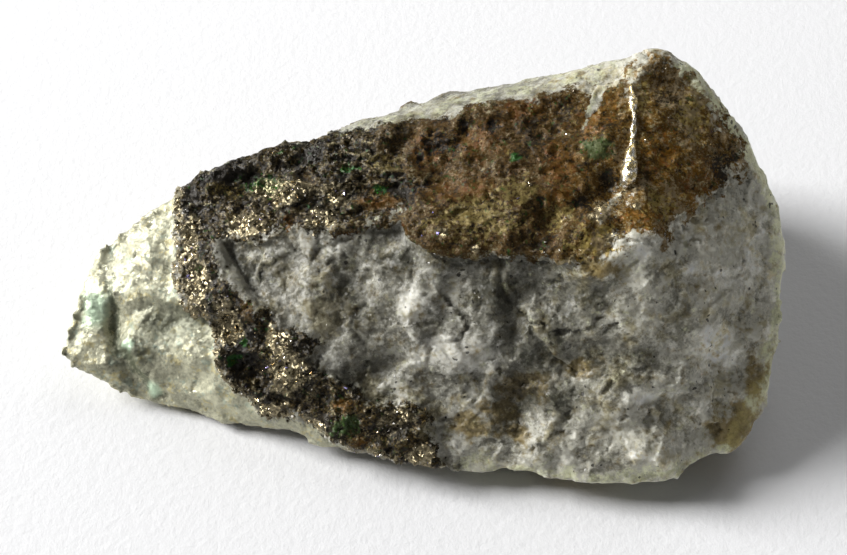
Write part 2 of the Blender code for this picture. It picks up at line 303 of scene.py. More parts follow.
wander = noise_at(places, 4.0)
crest_distance = path_distances(places[:, [0, 2]], CREST_FROM_BEHIND)
thickness = THREAD_WIDTH * (0.4 + 2.6 * noise_at(places - ELSEWHERE, 2.6))
threads = thickness - np.abs(noise_at(places + 2.0 * ELSEWHERE, THREAD_SIZE, 4))
ore_behind = np.maximum(OVER_CREST * (1.0 + 0.6 * wander) - crest_distance, 6.0 * threads)
ore_behind = np.clip(ore_behind, OUTSIDE, -OUTSIDE)
break_behind = BREAK_BEHIND + BEHIND_WANDER * wander - places[:, 0]
ore_behind = np.minimum(ore_behind, -break_behind)
seam_depth = shown * seam_drawn + (1.0 - shown) * ore_behind
ore_depth = shown * ore_drawn + (1.0 - shown) * ore_behind
break_depth = shown * break_drawn + (1.0 - shown) * break_behind
on_ore = smooth_step(ore_depth, -0.08, 0.08) * smooth_step(-break_depth, *BREAK_BORDER)
on_break = smooth_step(break_depth, *BREAK_BORDER) * (1.0 - on_ore)
on_quartz = 1.0 - np.maximum(on_ore, on_break)
print("shares: ore %.2f, break %.2f, quartz %.2f" % (on_ore.mean(), on_break.mean(), on_quartz.mean()))

# %% [markdown]
# ## Places with a look of their own
#
# The quartz is paler where it is crushed and darker where one sees into it, and the ore is rusty,
# olive, black or green in patches. A few small pale and white ovals are painted highlights, and thin
# dark ones along the seam are painted shadow under it. Each such place is an oval on the drawing,
# read from the photograph: centre s and t, half width and half height. Noise tears their rims. The
# hidden sides get patches of the same sizes from noise alone.

# %% Patches of the quartz
PATCH_RIM = (0.2, 1.35)
CREASE = [(4.6, 4.8), (4.8, 2.8), (5.3, 2.1), (6.1, 1.1), (7.0, -0.5), (8.0, -1.4), (8.8, -1.7)]
CREASE_DEPTH = 0.3
CREASE_WIDTH = 0.4
# A few small ovals here and among the white ones are painted highlights; the rest are crushed quartz.
PALE_QUARTZ = [
    (14.4, 6.2, 3.0, 1.2), (17.0, 3.4, 2.2, 1.6), (12.6, 1.6, 0.9, 0.7), (18.6, 6.4, 1.6, 1.8),
    (-6.4, 1.9, 1.4, 1.0), (-0.1, 2.3, 1.1, 1.4), (0.0, 0.2, 1.0, 0.8), (3.6, -1.0, 1.2, 1.0),
    (10.2, 4.0, 1.4, 0.9), (-5.6, 1.7, 1.7, 1.5), (2.8, -3.4, 1.6, 1.2), (3.3, -0.6, 1.6, 1.3),
    (15.4, -3.3, 2.0, 1.3), (-4.8, -0.7, 1.1, 0.8), (1.9, -5.5, 1.5, 1.2), (1.4, 3.2, 1.4, 1.2),
    (1.6, -3.2, 1.4, 1.2), (2.2, -5.4, 1.2, 1.0), (-5.4, 3.6, 1.2, 0.9), (2.0, -1.2, 1.2, 0.9),
    (4.4, 0.6, 0.7, 1.4), (0.9, -0.5, 2.0, 1.2), (-0.6, -2.9, 1.1, 1.0), (2.2, -6.3, 1.7, 0.8),
    (11.2, 5.1, 1.4, 0.7), (11.8, 3.9, 1.0, 0.8), (16.2, 0.7, 0.8, 1.1), (17.2, -0.6, 0.8, 0.7),
    (13.9, -0.5, 0.6, 0.5), (12.6, -2.6, 1.2, 1.0), (16.6, -0.4, 1.7, 1.7), (12.8, -6.4, 1.6, 0.6),
    (8.0, -6.6, 2.0, 0.5), (19.9, 2.3, 0.6, 3.4), (15.2, -5.7, 1.4, 0.8), (-1.8, -0.4, 0.4, 0.4),
    (-8.8, 4.9, 1.2, 0.7), (-4.5, 5.5, 0.9, 0.8), (-5.9, 5.5, 0.7, 0.9),
]
WHITE_QUARTZ = [
    (16.5, 0.2, 1.1, 1.2), (12.1, -3.0, 1.4, 1.0), (12.1, 5.1, 0.7, 0.7), (14.8, 4.1, 1.4, 0.5),
    (17.3, -1.0, 1.0, 0.9), (17.8, -3.1, 0.6, 0.5), (11.9, -6.1, 0.8, 0.5), (3.2, -0.6, 1.3, 1.1),
    (-0.2, 1.6, 0.9, 1.3), (1.2, -0.5, 1.5, 0.9), (2.2, -1.4, 0.7, 0.4), (4.7, -0.5, 0.3, 0.6),
    (18.6, 4.4, 0.7, 1.6),
]
# Quartz one sees into, darker; the thin ovals along the seam's lower edge are painted shadow under it.
DEEP_QUARTZ_AND_SHADOW = [
    (-9.1, 4.0, 1.8, 1.4), (8.2, 0.6, 1.8, 2.1), (4.6, 2.6, 2.0, 1.3), (14.4, 0.6, 1.2, 1.6),
    (-3.8, 2.2, 1.5, 1.6), (-3.3, -1.9, 1.4, 0.9), (6.4, 3.3, 1.4, 1.0), (-1.0, 4.4, 1.4, 0.8),
    (11.3, -1.1, 1.9, 1.6), (12.9, 3.9, 0.9, 0.7), (6.6, -0.8, 1.8, 1.1), (6.0, -3.2, 1.2, 1.1),
    (9.5, -0.1, 0.8, 1.2), (2.0, 4.5, 2.0, 0.5), (5.6, 4.4, 2.4, 0.5), (9.4, 2.2, 1.4, 0.7),
    (8.2, -3.2, 1.6, 1.0),
]
BROWN_QUARTZ = [
    (5.9, -2.6, 1.6, 1.1), (4.7, -3.8, 1.5, 0.9), (5.3, -5.1, 1.1, 0.6), (17.0, -4.8, 1.1, 0.9),
    (19.0, -2.1, 0.7, 1.7), (8.8, -1.5, 1.1, 0.7), (3.0, -4.6, 1.4, 0.8), (10.7, 3.9, 0.5, 0.3),
    (9.8, 3.9, 1.2, 0.7), (18.4, -4.8, 1.4, 1.8),
]
print("ovals on the quartz:", len(PALE_QUARTZ + WHITE_QUARTZ + DEEP_QUARTZ_AND_SHADOW + BROWN_QUARTZ))

# %% [markdown]
# Copper shows as green spots in the ore and as mint ones on the fresh break. Iron makes ore rusty,
# weathering turns it olive, and deep tarnish black. Glints are where the tarnish is chipped off and
# the metal under it shines; there the ore is also painted pale, as a painted highlight.

# %% Patches of the ore, and the mint spots
GREEN_SPOTS = [
    (-8.5, 8.9, 1.3, 0.6), (5.6, 10.1, 0.5, 0.3), (9.9, 10.7, 0.9, 0.8), (-3.8, -4.6, 0.8, 0.6),
    (-9.7, -0.2, 0.4, 0.4), (-10.1, -1.0, 0.4, 0.3), (-3.6, 9.7, 0.6, 0.2), (-2.1, 8.6, 0.5, 0.2),
    (-12.4, 4.1, 0.3, 0.3),
]
MINT_SPOTS = [(-18.8, 1.8, 0.8, 1.2), (-15.1, -2.9, 0.5, 0.5), (-16.6, -0.4, 0.3, 0.4)]
RUST_SPOTS = [
    (-9.4, 1.9, 0.7, 0.8), (-7.1, 6.6, 0.6, 0.9), (-6.1, 9.2, 0.5, 1.1), (-3.9, -3.5, 1.1, 0.5),
    (-3.1, -5.5, 0.9, 0.5), (-4.2, -0.2, 0.7, 0.5), (-2.0, 7.9, 1.7, 0.9), (0.8, 10.7, 1.4, 1.4),
    (2.5, 8.4, 2.3, 1.1), (5.8, 12.9, 1.7, 1.1), (7.9, 9.4, 1.4, 2.3), (12.1, 6.7, 1.7, 0.8),
    (13.3, 10.5, 1.4, 2.3), (15.6, 8.9, 1.7, 2.0), (10.6, 12.7, 0.8, 1.4), (-3.9, 5.9, 1.5, 0.5),
    (3.6, 11.2, 1.7, 1.4), (9.6, 12.2, 1.1, 1.1), (-0.9, 5.9, 1.1, 0.6),
]
OLIVE_SPOTS = [
    (3.3, 6.6, 2.6, 0.9), (3.0, 7.5, 2.3, 0.7), (-10.7, 8.7, 1.7, 0.5), (7.9, 7.0, 1.1, 0.8),
    (9.8, 5.2, 2.0, 1.8), (15.8, 13.7, 1.1, 1.4), (5.7, 8.3, 1.4, 1.0), (-1.7, 9.9, 1.1, 0.6),
    (-8.1, -0.5, 0.8, 0.8), (12.3, 13.3, 0.7, 1.1), (3.4, 7.0, 3.4, 1.6), (15.4, 12.6, 1.2, 1.6),
    (13.4, 7.6, 1.4, 0.8),
]
BLACK_SPOTS = [
    (-10.2, 0.4, 1.2, 1.2), (-10.8, 9.4, 2.0, 0.7), (-5.0, -4.8, 1.4, 0.8), (-0.6, 8.7, 1.2, 0.9),
    (1.3, 11.0, 1.2, 0.9), (17.0, 9.6, 1.0, 1.2), (-13.0, 7.6, 0.5, 1.5), (-5.9, 10.4, 0.8, 0.6),
    (0.2, 10.4, 0.3, 0.5), (4.3, 11.9, 0.3, 0.3), (6.9, 7.7, 0.3, 0.5), (2.6, 12.1, 0.3, 0.5),
    (9.0, 7.7, 0.9, 0.5), (10.6, 9.0, 0.6, 0.7), (17.8, 10.4, 0.4, 0.3), (15.7, 6.1, 0.5, 0.3),
    (-9.6, -1.3, 0.9, 0.7), (-12.2, 3.2, 0.9, 0.8), (-8.5, -3.3, 1.4, 0.6), (-10.4, 0.6, 0.8, 0.9),
    (-4.3, 12.1, 1.7, 0.3), (0.8, 13.1, 0.8, 0.3), (-6.6, 11.2, 0.6, 0.3), (-0.9, -4.6, 0.9, 0.7),
]
GLINT_SPOTS = [
    (-12.5, 3.2, 1.1, 1.7), (-7.6, 0.2, 1.0, 1.2), (-7.2, -1.8, 1.5, 1.6), (-8.2, -3.6, 1.1, 0.6),
    (-4.5, 8.2, 1.1, 1.1), (-5.3, 6.7, 1.1, 0.8), (-9.4, 6.6, 1.5, 0.9), (-1.1, -4.3, 1.1, 0.7),
    (0.3, -6.3, 1.0, 0.8), (-10.8, 1.0, 1.0, 1.8), (-12.9, 5.7, 0.7, 2.3), (-7.7, 8.5, 2.3, 1.1),
    (1.6, 6.0, 0.3, 0.2), (3.1, 5.2, 0.3, 0.2), (8.3, 4.4, 0.6, 0.6), (10.0, 7.0, 0.7, 0.7),
    (10.8, 5.5, 0.6, 0.3), (12.1, 7.5, 0.3, 0.3), (11.6, 9.4, 0.4, 1.2),
]
print("ovals on the ore:", len(GREEN_SPOTS + RUST_SPOTS + OLIVE_SPOTS + BLACK_SPOTS + GLINT_SPOTS))

# %% [markdown]
# Some marks are lines or single shapes instead of ovals: the grooves of the fresh break, the weathered
# rims, a chip, and the edges of thin layers of ore, which stand up as pale wavy ridges.

# %% Break, rims, chip and ridges
# Facets of the fresh break that turn from the light, painted in shade, and the grooves across it.
SHADED_BREAK_FACETS = [(-14.2, 0.9, 3.0, 1.5), (-12.6, 1.4, 1.8, 0.9), (-16.0, -0.6, 1.4, 1.4)]
BREAK_LINES = [
    [(-17.9, 3.4), (-17.7, 1.2), (-17.2, -0.4), (-16.0, -1.9), (-14.9, -3.2)],
    [(-17.5, 2.3), (-15.9, 2.2), (-14.0, 2.1), (-12.4, 1.8)],
]
BREAK_LINE_WIDTH = 0.7
# Places where the ore is bleached to a greyer beige.
BLEACHED_ORE = [(10.2, 5.3, 1.7, 2.2), (-9.2, 6.8, 1.8, 0.9)]
# The rim behind the crest and the rim at the thick end are pale, weathered quartz; part of their paleness is
# painted light.
PALE_RIMS = [
    [(-3.6, 12.3), (2.2, 13.6), (6.0, 14.4), (11.0, 15.4)],
    [(14.9, 15.3), (17.1, 12.9), (19.1, 10.2), (20.5, 7.1), (20.6, 2.8), (20.1, -1.7), (17.6, -5.6)],
    [(3.0, -7.0), (7.0, -7.4), (11.0, -7.7), (15.0, -6.8), (17.6, -5.6)],
]
RIM_SHARES = (0.5, 1.0, 0.7)
RIM_REACH = (0.2, 0.95)
# A flat pale chip on the quartz under the seam. The smooth rib beside the strip stands out almost as far.
CHIP = [(-6.35, 6.5), (-6.6, 5.6), (-6.3, 4.8), (-5.8, 4.6), (-5.5, 5.3), (-5.4, 6.5)]
CHIP_RISE = 0.22
# The seam's left edge is broken clean and glints all along: it is painted pale, a painted highlight.
EDGE_GLINT_WIDTH = 0.3
# Two places where the ore is layered, like the pages of a wet book.
LAYERED = (-2.8, 9.3, 2.6, 1.7)
LAYERED_OLIVE = (3.2, 6.8, 3.4, 1.4)
# Edges of thin layers of ore, seen end on as pale wavy ridges.
RIDGES = [
    [(-4.6, 10.4), (-3.6, 10.7), (-2.4, 10.4), (-1.1, 10.7)],
    [(-4.4, 9.6), (-3.6, 10.0), (-2.8, 9.8), (-0.6, 10.3)],
    [(-3.9, 8.9), (-2.8, 9.5), (-1.7, 9.6), (-0.7, 9.8)], [(-3.1, 8.5), (-2.2, 8.1), (-1.1, 8.3)],
    [(-4.9, 11.0), (-3.8, 11.3), (-2.2, 11.1)], [(-2.0, 9.0), (-0.9, 9.2)], [(-4.2, 8.1), (-3.4, 8.5)],
    [(-5.6, 10.0), (-5.0, 9.0), (-5.3, 7.7)], [(-7.2, 9.6), (-6.4, 9.0), (-6.0, 8.1)],
    [(0.4, 8.9), (1.0, 10.0)], [(-12.9, 7.8), (-10.6, 7.9), (-8.9, 8.4)], [(1.2, 7.6), (2.6, 7.4)],
    [(3.9, 7.0), (5.2, 7.2)],
]
RIDGE_WIDTH = (0.12, 0.26)
RIDGE_HEIGHT = 0.08
print(len(RIDGES), "ridges,", len(PALE_RIMS), "pale rims and", len(BREAK_LINES), "grooves")

# %% [markdown]
# Three functions find the ovals on the skin and make up patches for the hidden sides.

# %% Finding patches
def reach_from(points, s, t, half_width, half_height):
    """0 at the middle of an oval on the drawing and 1 at its rim."""
    return np.hypot((points[:, 0] - s) / half_width, (points[:, 1] - t) / half_height)


def patches(ovals):
    """1 inside the ovals and 0 outside, with soft torn rims, on the show side only."""
    found = np.zeros(len(torn))
    for oval in ovals:
        found = np.maximum(found, 1.0 - smooth_step(reach_from(torn, *oval), *PATCH_RIM))
    return found * shown


def patches_behind(size, share, offset):
    """Patches from noise on the hidden sides: about this size across, over about this share of them."""
    field = noise_at(places + offset, size)
    least = np.quantile(field, 1.0 - share)
    return smooth_step(field, least - 0.1, least + 0.15) * (1.0 - shown)


# %% [markdown]
# Next come the lines and single shapes. Each becomes a value from 0 to 1 on every point of the skin.

# %% Rims, creases, ridges and clefts
RIM_FACING = (-0.75, -0.2)

rims = [1.0 - smooth_step(path_distances(torn, path), *RIM_REACH) for path in PALE_RIMS]
rim = np.max([share * one for share, one in zip(RIM_SHARES, rims)], axis=0)
rim *= smooth_step(wide_facing @ FACE_OUT, *RIM_FACING)
chip = smooth_step(outline_depths(0.3 * torn + 0.7 * face, CHIP), 0.0, 0.1) * shown
rib = smooth_step(rib_depth, 0.0, 0.12) * shown
veinlet = smooth_step(seam_drawn, 0.0, 0.2) * smooth_step(-ore_drawn, -0.1, 0.1) * shown
rim = np.maximum(rim, 0.45 * veinlet)
edge_line = np.exp(-((path_distances(torn, ORE_ON_BREAK[-6:]) / 0.16) ** 2)) * shown
wavy = face + 0.6 * (torn - face)
# The crease, and a thin line along the rib's right side, are carved in and also painted darker as painted
# shade.
crease = 1.0 - smooth_step(path_distances(wavy, CREASE), 0.0, CREASE_WIDTH)
crease = np.maximum(crease, 0.3 - 0.3 * smooth_step(path_distances(face, RIB_FOOT), 0.0, 0.2)) * shown
ridge_width = np.interp(noise_at(places + 5.0, 0.9), (-0.5, 0.5), RIDGE_WIDTH)
ridge = np.min([path_distances(wavy, path) for path in RIDGES], axis=0) / ridge_width
broken = smooth_step(noise_at(places + 8.0, 0.8), -0.25, 0.15) * shown
ridge = (1.0 - smooth_step(ridge, 0.0, 1.0)) * broken
# Just under each ridge the skin dips, and the ore is painted darker there, as painted shadow.
under = np.min([path_distances(wavy + [0.0, 0.26], path) for path in RIDGES], axis=0) / ridge_width
under = (1.0 - smooth_step(under, 0.0, 1.0)) * broken
cleft = [1.0 - smooth_step(path_distances(torn, path), 0.0, BREAK_LINE_WIDTH) for path in BREAK_LINES]
cleft = np.maximum(cleft[0], 0.4 * cleft[1]) * shown
print("rim over %.3f of the skin, ridges over %.3f" % (rim.mean(), ridge.mean()))

# %% [markdown]
# Last come the patches themselves. The stone is painted lighter toward its thick end and its foot, as
# painted light, and the same value holds the places where the ore is bleached. It is sooty toward its
# narrow end and along the strip.

# %% Laying out the patches
PAINTED_LIGHT_ALONG = (6.0, 14.0)
PAINTED_LIGHT_LOW = (1.5, 4.5)
SOOTY_ALONG = (-1.5, 5.0)
SOOTY_LOW = (-2.0, 0.5)

pale = patches(PALE_QUARTZ) + patches_behind(3.0, 0.3, 11.0)
pale = np.maximum(pale, np.maximum(0.8 * rim, 0.55 * chip))
pale = np.maximum(pale, 0.3 * veinlet) * (1.0 - rib)
# Darker where one sees into the quartz, with painted shade along the crease and painted shadow under the seam.
deep = np.maximum(patches(DEEP_QUARTZ_AND_SHADOW) + patches_behind(4.0, 0.3, 23.0), 0.7 * crease)
deep = np.maximum(deep * (1.0 - chip) * (1.0 - rib), 0.15 * rib)
white = patches(WHITE_QUARTZ)
break_facet_shade = patches(SHADED_BREAK_FACETS)
calm = np.maximum(chip, rib)
layered = [1.0 - smooth_step(reach_from(torn, *oval), 0.5, 1.2) for oval in (LAYERED, LAYERED_OLIVE)]
layered = np.maximum(np.maximum(*layered), 0.35) * shown
# Painted light: the skin is painted lighter toward the thick end and the foot, and the bleached ore joins in.
sunny = np.maximum(smooth_step(face[:, 0], *PAINTED_LIGHT_ALONG), 0.35 * smooth_step(-face[:, 1], *PAINTED_LIGHT_LOW)) * shown
sunny = np.maximum(sunny, patches(BLEACHED_ORE))
sooty = np.maximum(smooth_step(-face[:, 0], *SOOTY_ALONG), smooth_step(-face[:, 1], *SOOTY_LOW)) * shown
edge_glint = np.exp(-((path_distances(torn, ORE_ON_BREAK) / EDGE_GLINT_WIDTH) ** 2)) * shown
brown = patches(BROWN_QUARTZ) + patches_behind(5.0, 0.16, 31.0)
green = patches(GREEN_SPOTS) + patches_behind(2.2, 0.025, 43.0)
mint = patches(MINT_SPOTS) + patches_behind(2.0, 0.03, 53.0)
rust = patches(RUST_SPOTS) + patches_behind(3.0, 0.35, 61.0)
sooty *= 1.0 - 0.7 * rust
olive = patches(OLIVE_SPOTS) + patches_behind(3.0, 0.25, 71.0)
black = patches(BLACK_SPOTS) + patches_behind(1.5, 0.15, 83.0)
glints = np.maximum(patches(GLINT_SPOTS), 0.9 * edge_glint) + patches_behind(2.5, 0.3, 97.0)
print("patches laid out: pale quartz over %.2f of the skin, rust over %.2f" % (pale.mean(), rust.mean()))

# %% [markdown]
# ## Fine relief
#
# Broken rock is flat at one scale and broken again at the next. Each kind of ground has its own way of
# it. Quartz parts into small tilted facets, a few to the millimetre. Ore is crumbly, pitted and, left
# of its middle, layered like the pages of a wet book. The fresh metal is hackly, like torn lead. The
# seam's edge gets a small lip with a shadow line under it. All of it stays within half a
# millimetre, apart from the block at the left end of the crest, which is raised a little more. So the
# stone keeps the solid's size.

# %% Relief of quartz, ore and fresh metal
CELLS_APART = 7.3
QUARTZ_FACETS = [(2.0, 0.1), (1.0, 0.08), (0.5, 0.075)]
QUARTZ_ROUGH = 0.04
QUARTZ_LUMPS = 0.08
LUMP_SIZE = 1.5
ORE_CRUMBS = [(1.8, 0.1), (0.8, 0.14), (0.4, 0.12)]
ORE_ROUGH = 0.06
ORE_PITS = 0.05
PIT_SIZE = 0.9
METAL_FACETS = [(1.0, 0.08), (0.35, 0.06)]
METAL_ROUGH = 0.03
CLEFT_DEPTH = 0.14
ORE_STEP = 0.11
ORE_STEP_SIZE = 2.6
LAYER_STEP = 0.5
LAYER_HEIGHT = 0.22
LAYER_LEAN = 0.22
LIP = 0.12
LIP_WIDTH = 0.3
FILLET = 0.3
FILLET_WIDTH = 0.9
LEFT_BLOCK = [(-11.8, 9.4), (-9.9, 10.5), (-7.4, 11.2)]
LEFT_BLOCK_RISE = 0.3
# Ovals that are filled by this many millimetres: a dip behind the tip's edge, and the shoulder above it.
TIP_FILLS = [(-18.85, 1.4, 1.6, 2.4, 0.42), (-18.6, 4.9, 1.3, 1.3, 0.22)]
BASE_SHARE = 0.35
CALM_SHARE = 0.85
CALM_RIM = 0.75
FULL_RIM = 0.6
RELIEF_LIMITS = (-0.45, 0.4)


def facets(points, size, tilt):
    """Flat facets about size across, each tilted its own way: their height, and a tone from -1 to 1."""
    heights, tones = [], []
    for place in points:
        _, middles = noise.voronoi(Vector(place) / size)
        middle = middles[0]
        lean = 2.0 * noise.cell_vector(middle * CELLS_APART) - Vector((1.0, 1.0, 1.0))
        heights.append(tilt * lean.dot(Vector(place) - middle * size))
        # The tone follows the facet's tilt, so it paints light and shade on the facets.
        tones.append(lean.y)
    return np.array(heights), np.array(tones)


def faceted(sizes, warp):
    """The facets of several sizes together. Their borders are bent by warp."""
    bent = places + warp * np.stack([noise_at(places + shift, 1.3) for shift in (1.0, 5.0, 9.0)], 1)
    heights, tones = np.zeros(len(places)), np.zeros(len(places))
    for size, tilt in sizes:
        height, tone = facets(bent + size, size, tilt)
        heights += height
        tones += tone / len(sizes)
    return heights, tones


def terraces(points, size, rise):
    """Broken steps: plateaus about size across, each a rise above the next, with steep edges."""
    level = 2.4 * noise_at(points, size)
    share = level - np.floor(level)
    return rise * (np.floor(level) + smooth_step(share, 0.36, 0.64) - 0.5)


def layers(oval):
    """Torn edges of thin layers that run along the face: each rises slowly and drops at once."""
    warp = 0.35 * noise_at(places, 1.6)
    level = (torn[:, 1] - LAYER_LEAN * torn[:, 0] + warp) / LAYER_STEP
    rise = level - np.floor(level)
    return LAYER_HEIGHT * (rise - 0.5) * (1.0 - smooth_step(reach_from(torn, *oval), 0.5, 1.2)) * shown


quartz_facets, quartz_tone = faceted(QUARTZ_FACETS, 0.5)
quartz_relief = QUARTZ_ROUGH * noise_at(places, 0.5) + QUARTZ_LUMPS * noise_at(places + 3.0, LUMP_SIZE)
quartz_relief += quartz_facets
quartz_relief *= 1.0 - CALM_SHARE * np.maximum(calm, CALM_RIM * np.minimum(rim / FULL_RIM, 1.0))
quartz_relief += CHIP_RISE * np.maximum(chip, 0.7 * rib) - CREASE_DEPTH * crease

pits = np.maximum(0.0, noise_at(places + ELSEWHERE, PIT_SIZE) - 0.15)
ore_relief = ORE_ROUGH * noise_at(places, 0.7, 4) - ORE_PITS * pits - 0.1 * black
ore_relief += layers(LAYERED) + 0.4 * layers(LAYERED_OLIVE)
ore_relief += terraces(places + 19.0, ORE_STEP_SIZE, ORE_STEP)
ore_relief += RIDGE_HEIGHT * (ridge - 0.5 * under)
ore_facets, ore_tone = faceted(ORE_CRUMBS, 0.6)
ore_relief += (0.42 + 0.58 * sooty) * ore_facets

quartz_relief += veinlet * (ore_relief - quartz_relief)

well_inside = smooth_step(wide_facing @ FACE_OUT, 0.3, 0.8)
metal_relief = METAL_ROUGH * noise_at(places, 0.6) - CLEFT_DEPTH * cleft * well_inside
metal_facets, metal_tone = faceted(METAL_FACETS, 0.3)
metal_relief += metal_facets
# The facet tone follows each facet's tilt: painted light and shade on the facets.
facet = on_quartz * quartz_tone + on_ore * ore_tone + on_break * metal_tone

nearness = np.exp(-np.abs(seam_depth) / LIP_WIDTH)
lip = LIP * nearness * np.sign(seam_depth)
beside_strip = smooth_step(-face[:, 0], 6.0, 8.5) * shown
lip[seam_depth < 0.0] *= 1.0 - beside_strip[seam_depth < 0.0]
quartz_relief += FILLET * beside_strip * np.exp(-np.abs(seam_depth) / FILLET_WIDTH)
relief = on_quartz * quartz_relief + on_ore * ore_relief + on_break * metal_relief + lip * shown
relief = np.clip(relief, *RELIEF_LIMITS)
relief += LEFT_BLOCK_RISE * (1.0 - smooth_step(path_distances(face, LEFT_BLOCK), 0.1, 1.3)) * (1.0 - on_break)
relief *= 1.0 - (1.0 - BASE_SHARE) * resting
relief = np.where(resting > 0.5, np.minimum(relief, 0.0), relief)
print("relief from %.2f to %.2f mm" % (relief.min(), relief.max()))

# %% [markdown]
# The relief moves each point along the way that the skin faces there. Hollows are remembered: a point
# that ends up lower than its neighbours is painted darker, as dirt and painted shade, and one that
# stands higher is painted lighter. The finish reads all these values from the mesh, as attributes.

# %% Move the points, and keep what the finish needs
CLEAR_OF_FLOOR = (0.25, 0.8)
CAVITY_SPREAD = 12
CAVITY_SCALE = 0.12

moved = places + relief[:, None] * outward
not_behind = smooth_step(wide_facing @ FACE_OUT, -0.2, 0.3)
for *oval, rise in TIP_FILLS:
    filled = rise * (1.0 - smooth_step(reach_from(face, *oval), 0.0, 1.0)) * not_behind
    moved += filled[:, None] * (FACE_OUT + 0.6 * outward * (1.0 - shown)[:, None])
moved[:, 2] = np.maximum(moved[:, 2], MOVED[2])
stone.data.vertices.foreach_set("co", ((moved - MOVED) * MM).ravel())
stone.data.update()
around = spread(stone.data, moved, CAVITY_SPREAD)
height = ((moved - around) * outward).sum(1) / CAVITY_SCALE
hollow = np.clip(-height, 0.0, 1.0)
worn = np.clip(height, 0.0, 1.0)


def keep(name, values):
    """Stores the values on the stone's points under the name."""
    attribute = stone.data.attributes.new(name, "FLOAT", "POINT")
    attribute.data.foreach_set("value", values.astype(np.float32))


# The break is tarnished where the skin looks away, both close by and at large.
tarnished = smooth_step(-(near_facing @ FACE_OUT), 0.35, 0.7) * smooth_step(-(wide_facing @ FACE_OUT), 0.2, 0.6)
FINISH = dict(
    ore=ore_depth, fresh=break_depth, pale=pale, deep=deep, brown=brown, green=green, mint=mint, break_facet_shade=break_facet_shade,
    rust=rust, olive=olive, black=black, glints=glints, hollow=hollow, worn=worn, tarnished=tarnished, rim=rim,
    under=under, cleft=cleft, ridge=ridge, calm=calm, layered=layered, sunny=sunny, sooty=sooty, facet=facet,
    white=white, edge_glint=edge_line,
)
for name, values in FINISH.items():
    keep(name, values)
clear_of_floor = smooth_step(places[:, 2], *CLEAR_OF_FLOOR)
bare = np.maximum(calm, np.maximum(crease, 0.9 * rim))
keep("quartz_grains", on_quartz * clear_of_floor * (1.0 - bare))
keep("ore_crumbs", on_ore * clear_of_floor * (1.0 - green) * np.maximum(0.2 + 0.8 * sooty, 1.0 - shown))
bright_share = np.clip(0.08 + 0.92 * np.maximum(glints, 0.0) ** 1.5, 0.0, 1.0)
bright_share *= (1.0 - 0.8 * rust * (1.0 - glints)) * (1.0 - green)
keep("flecks", on_ore * clear_of_floor * bright_share)
keep("metal_grains", on_break * clear_of_floor)
keep("green_balls", green * clear_of_floor)
stone.data.shade_smooth()
print(len(stone.data.attributes), "attributes on the stone")

# %% [markdown]
# ## Mixing finishes
#
# Each finish is a tree of nodes. Small helpers keep the trees readable. The first ones feed a node and
# add one, do a step of arithmetic, ease a value from 0 to 1, and blend two colours. Others read a kept
# value, lay a coat over a colour and tilt the surface in little cells. Patterns are given by their size
# in millimetres, in the stone's own space, so they stay put on it from every side.

# %% Helpers for finishes
def feed(tree, node, inputs):
    """Gives each of these inputs of the node a value, or the socket that feeds it."""
    for name, value in inputs.items():
        if isinstance(value, bpy.types.NodeSocket):
            tree.links.new(value, node.inputs[name])
        else:
            node.inputs[name].default_value = value


def put(tree, kind, inputs=None, **settings):
    """Adds a node with these settings and feeds it."""
    made = tree.nodes.new(kind)
    for name, value in settings.items():
        setattr(made, name, value)
    feed(tree, made, inputs or {})
    return made


def sums(tree, operation, *values):
    return put(tree, "ShaderNodeMath", dict(enumerate(values)), operation=operation).outputs[0]


def times(tree, first, second):
    return sums(tree, "MULTIPLY", first, second)


def times_plus(tree, value, share, more):
    """The value times the share, plus more."""
    return sums(tree, "MULTIPLY_ADD", value, share, more)


def scaled(tree, way, share):
    """A colour or a direction times the share."""
    return put(tree, "ShaderNodeVectorMath", {0: way, 3: share}, operation="SCALE").outputs[0]


def ease(tree, value, low, high):
    """0 below low, 1 above high, and a soft step between them."""
    step = {"Value": value, "From Min": low, "From Max": high}
    return put(tree, "ShaderNodeMapRange", step, interpolation_type="SMOOTHSTEP").outputs[0]


def blend(tree, share, first, second, how="MIX"):
    mix = put(tree, "ShaderNodeMix", {0: share, 6: first, 7: second}, data_type="RGBA", blend_type=how)
    return mix.outputs[2]


def paint(red, green, blue):
    """A colour as the eye reads it, each part 0 to 255, made linear."""
    parts = np.array([red, green, blue]) / 255.0
    linear = np.where(parts <= 0.04045, parts / 12.92, ((parts + 0.055) / 1.055) ** 2.4)
    return (*map(float, linear), 1.0)


def mottle(tree, size, detail=3.0, roughness=0.6, shift=0.0):
    """Noise around 0.5 whose lumps are about size across, in millimetres."""
    place = put(tree, "ShaderNodeTexCoord").outputs["Object"]
    if shift:
        place = put(tree, "ShaderNodeVectorMath", {0: place, 1: (shift, shift, shift)}).outputs[0]
    inputs = {"Vector": place, "Scale": 1.0 / (size * MM), "Detail": detail, "Roughness": roughness}
    return put(tree, "ShaderNodeTexNoise", inputs).outputs["Fac"]


def swings(tree, *sizes, shift=0.0):
    """Noises of these sizes added up around 0, each given as its size and how strong it is."""
    total = 0.0
    for size, strength in sizes:
        wave = sums(tree, "SUBTRACT", mottle(tree, size, shift=shift + size), 0.5)
        total = times_plus(tree, wave, strength, total)
    return total


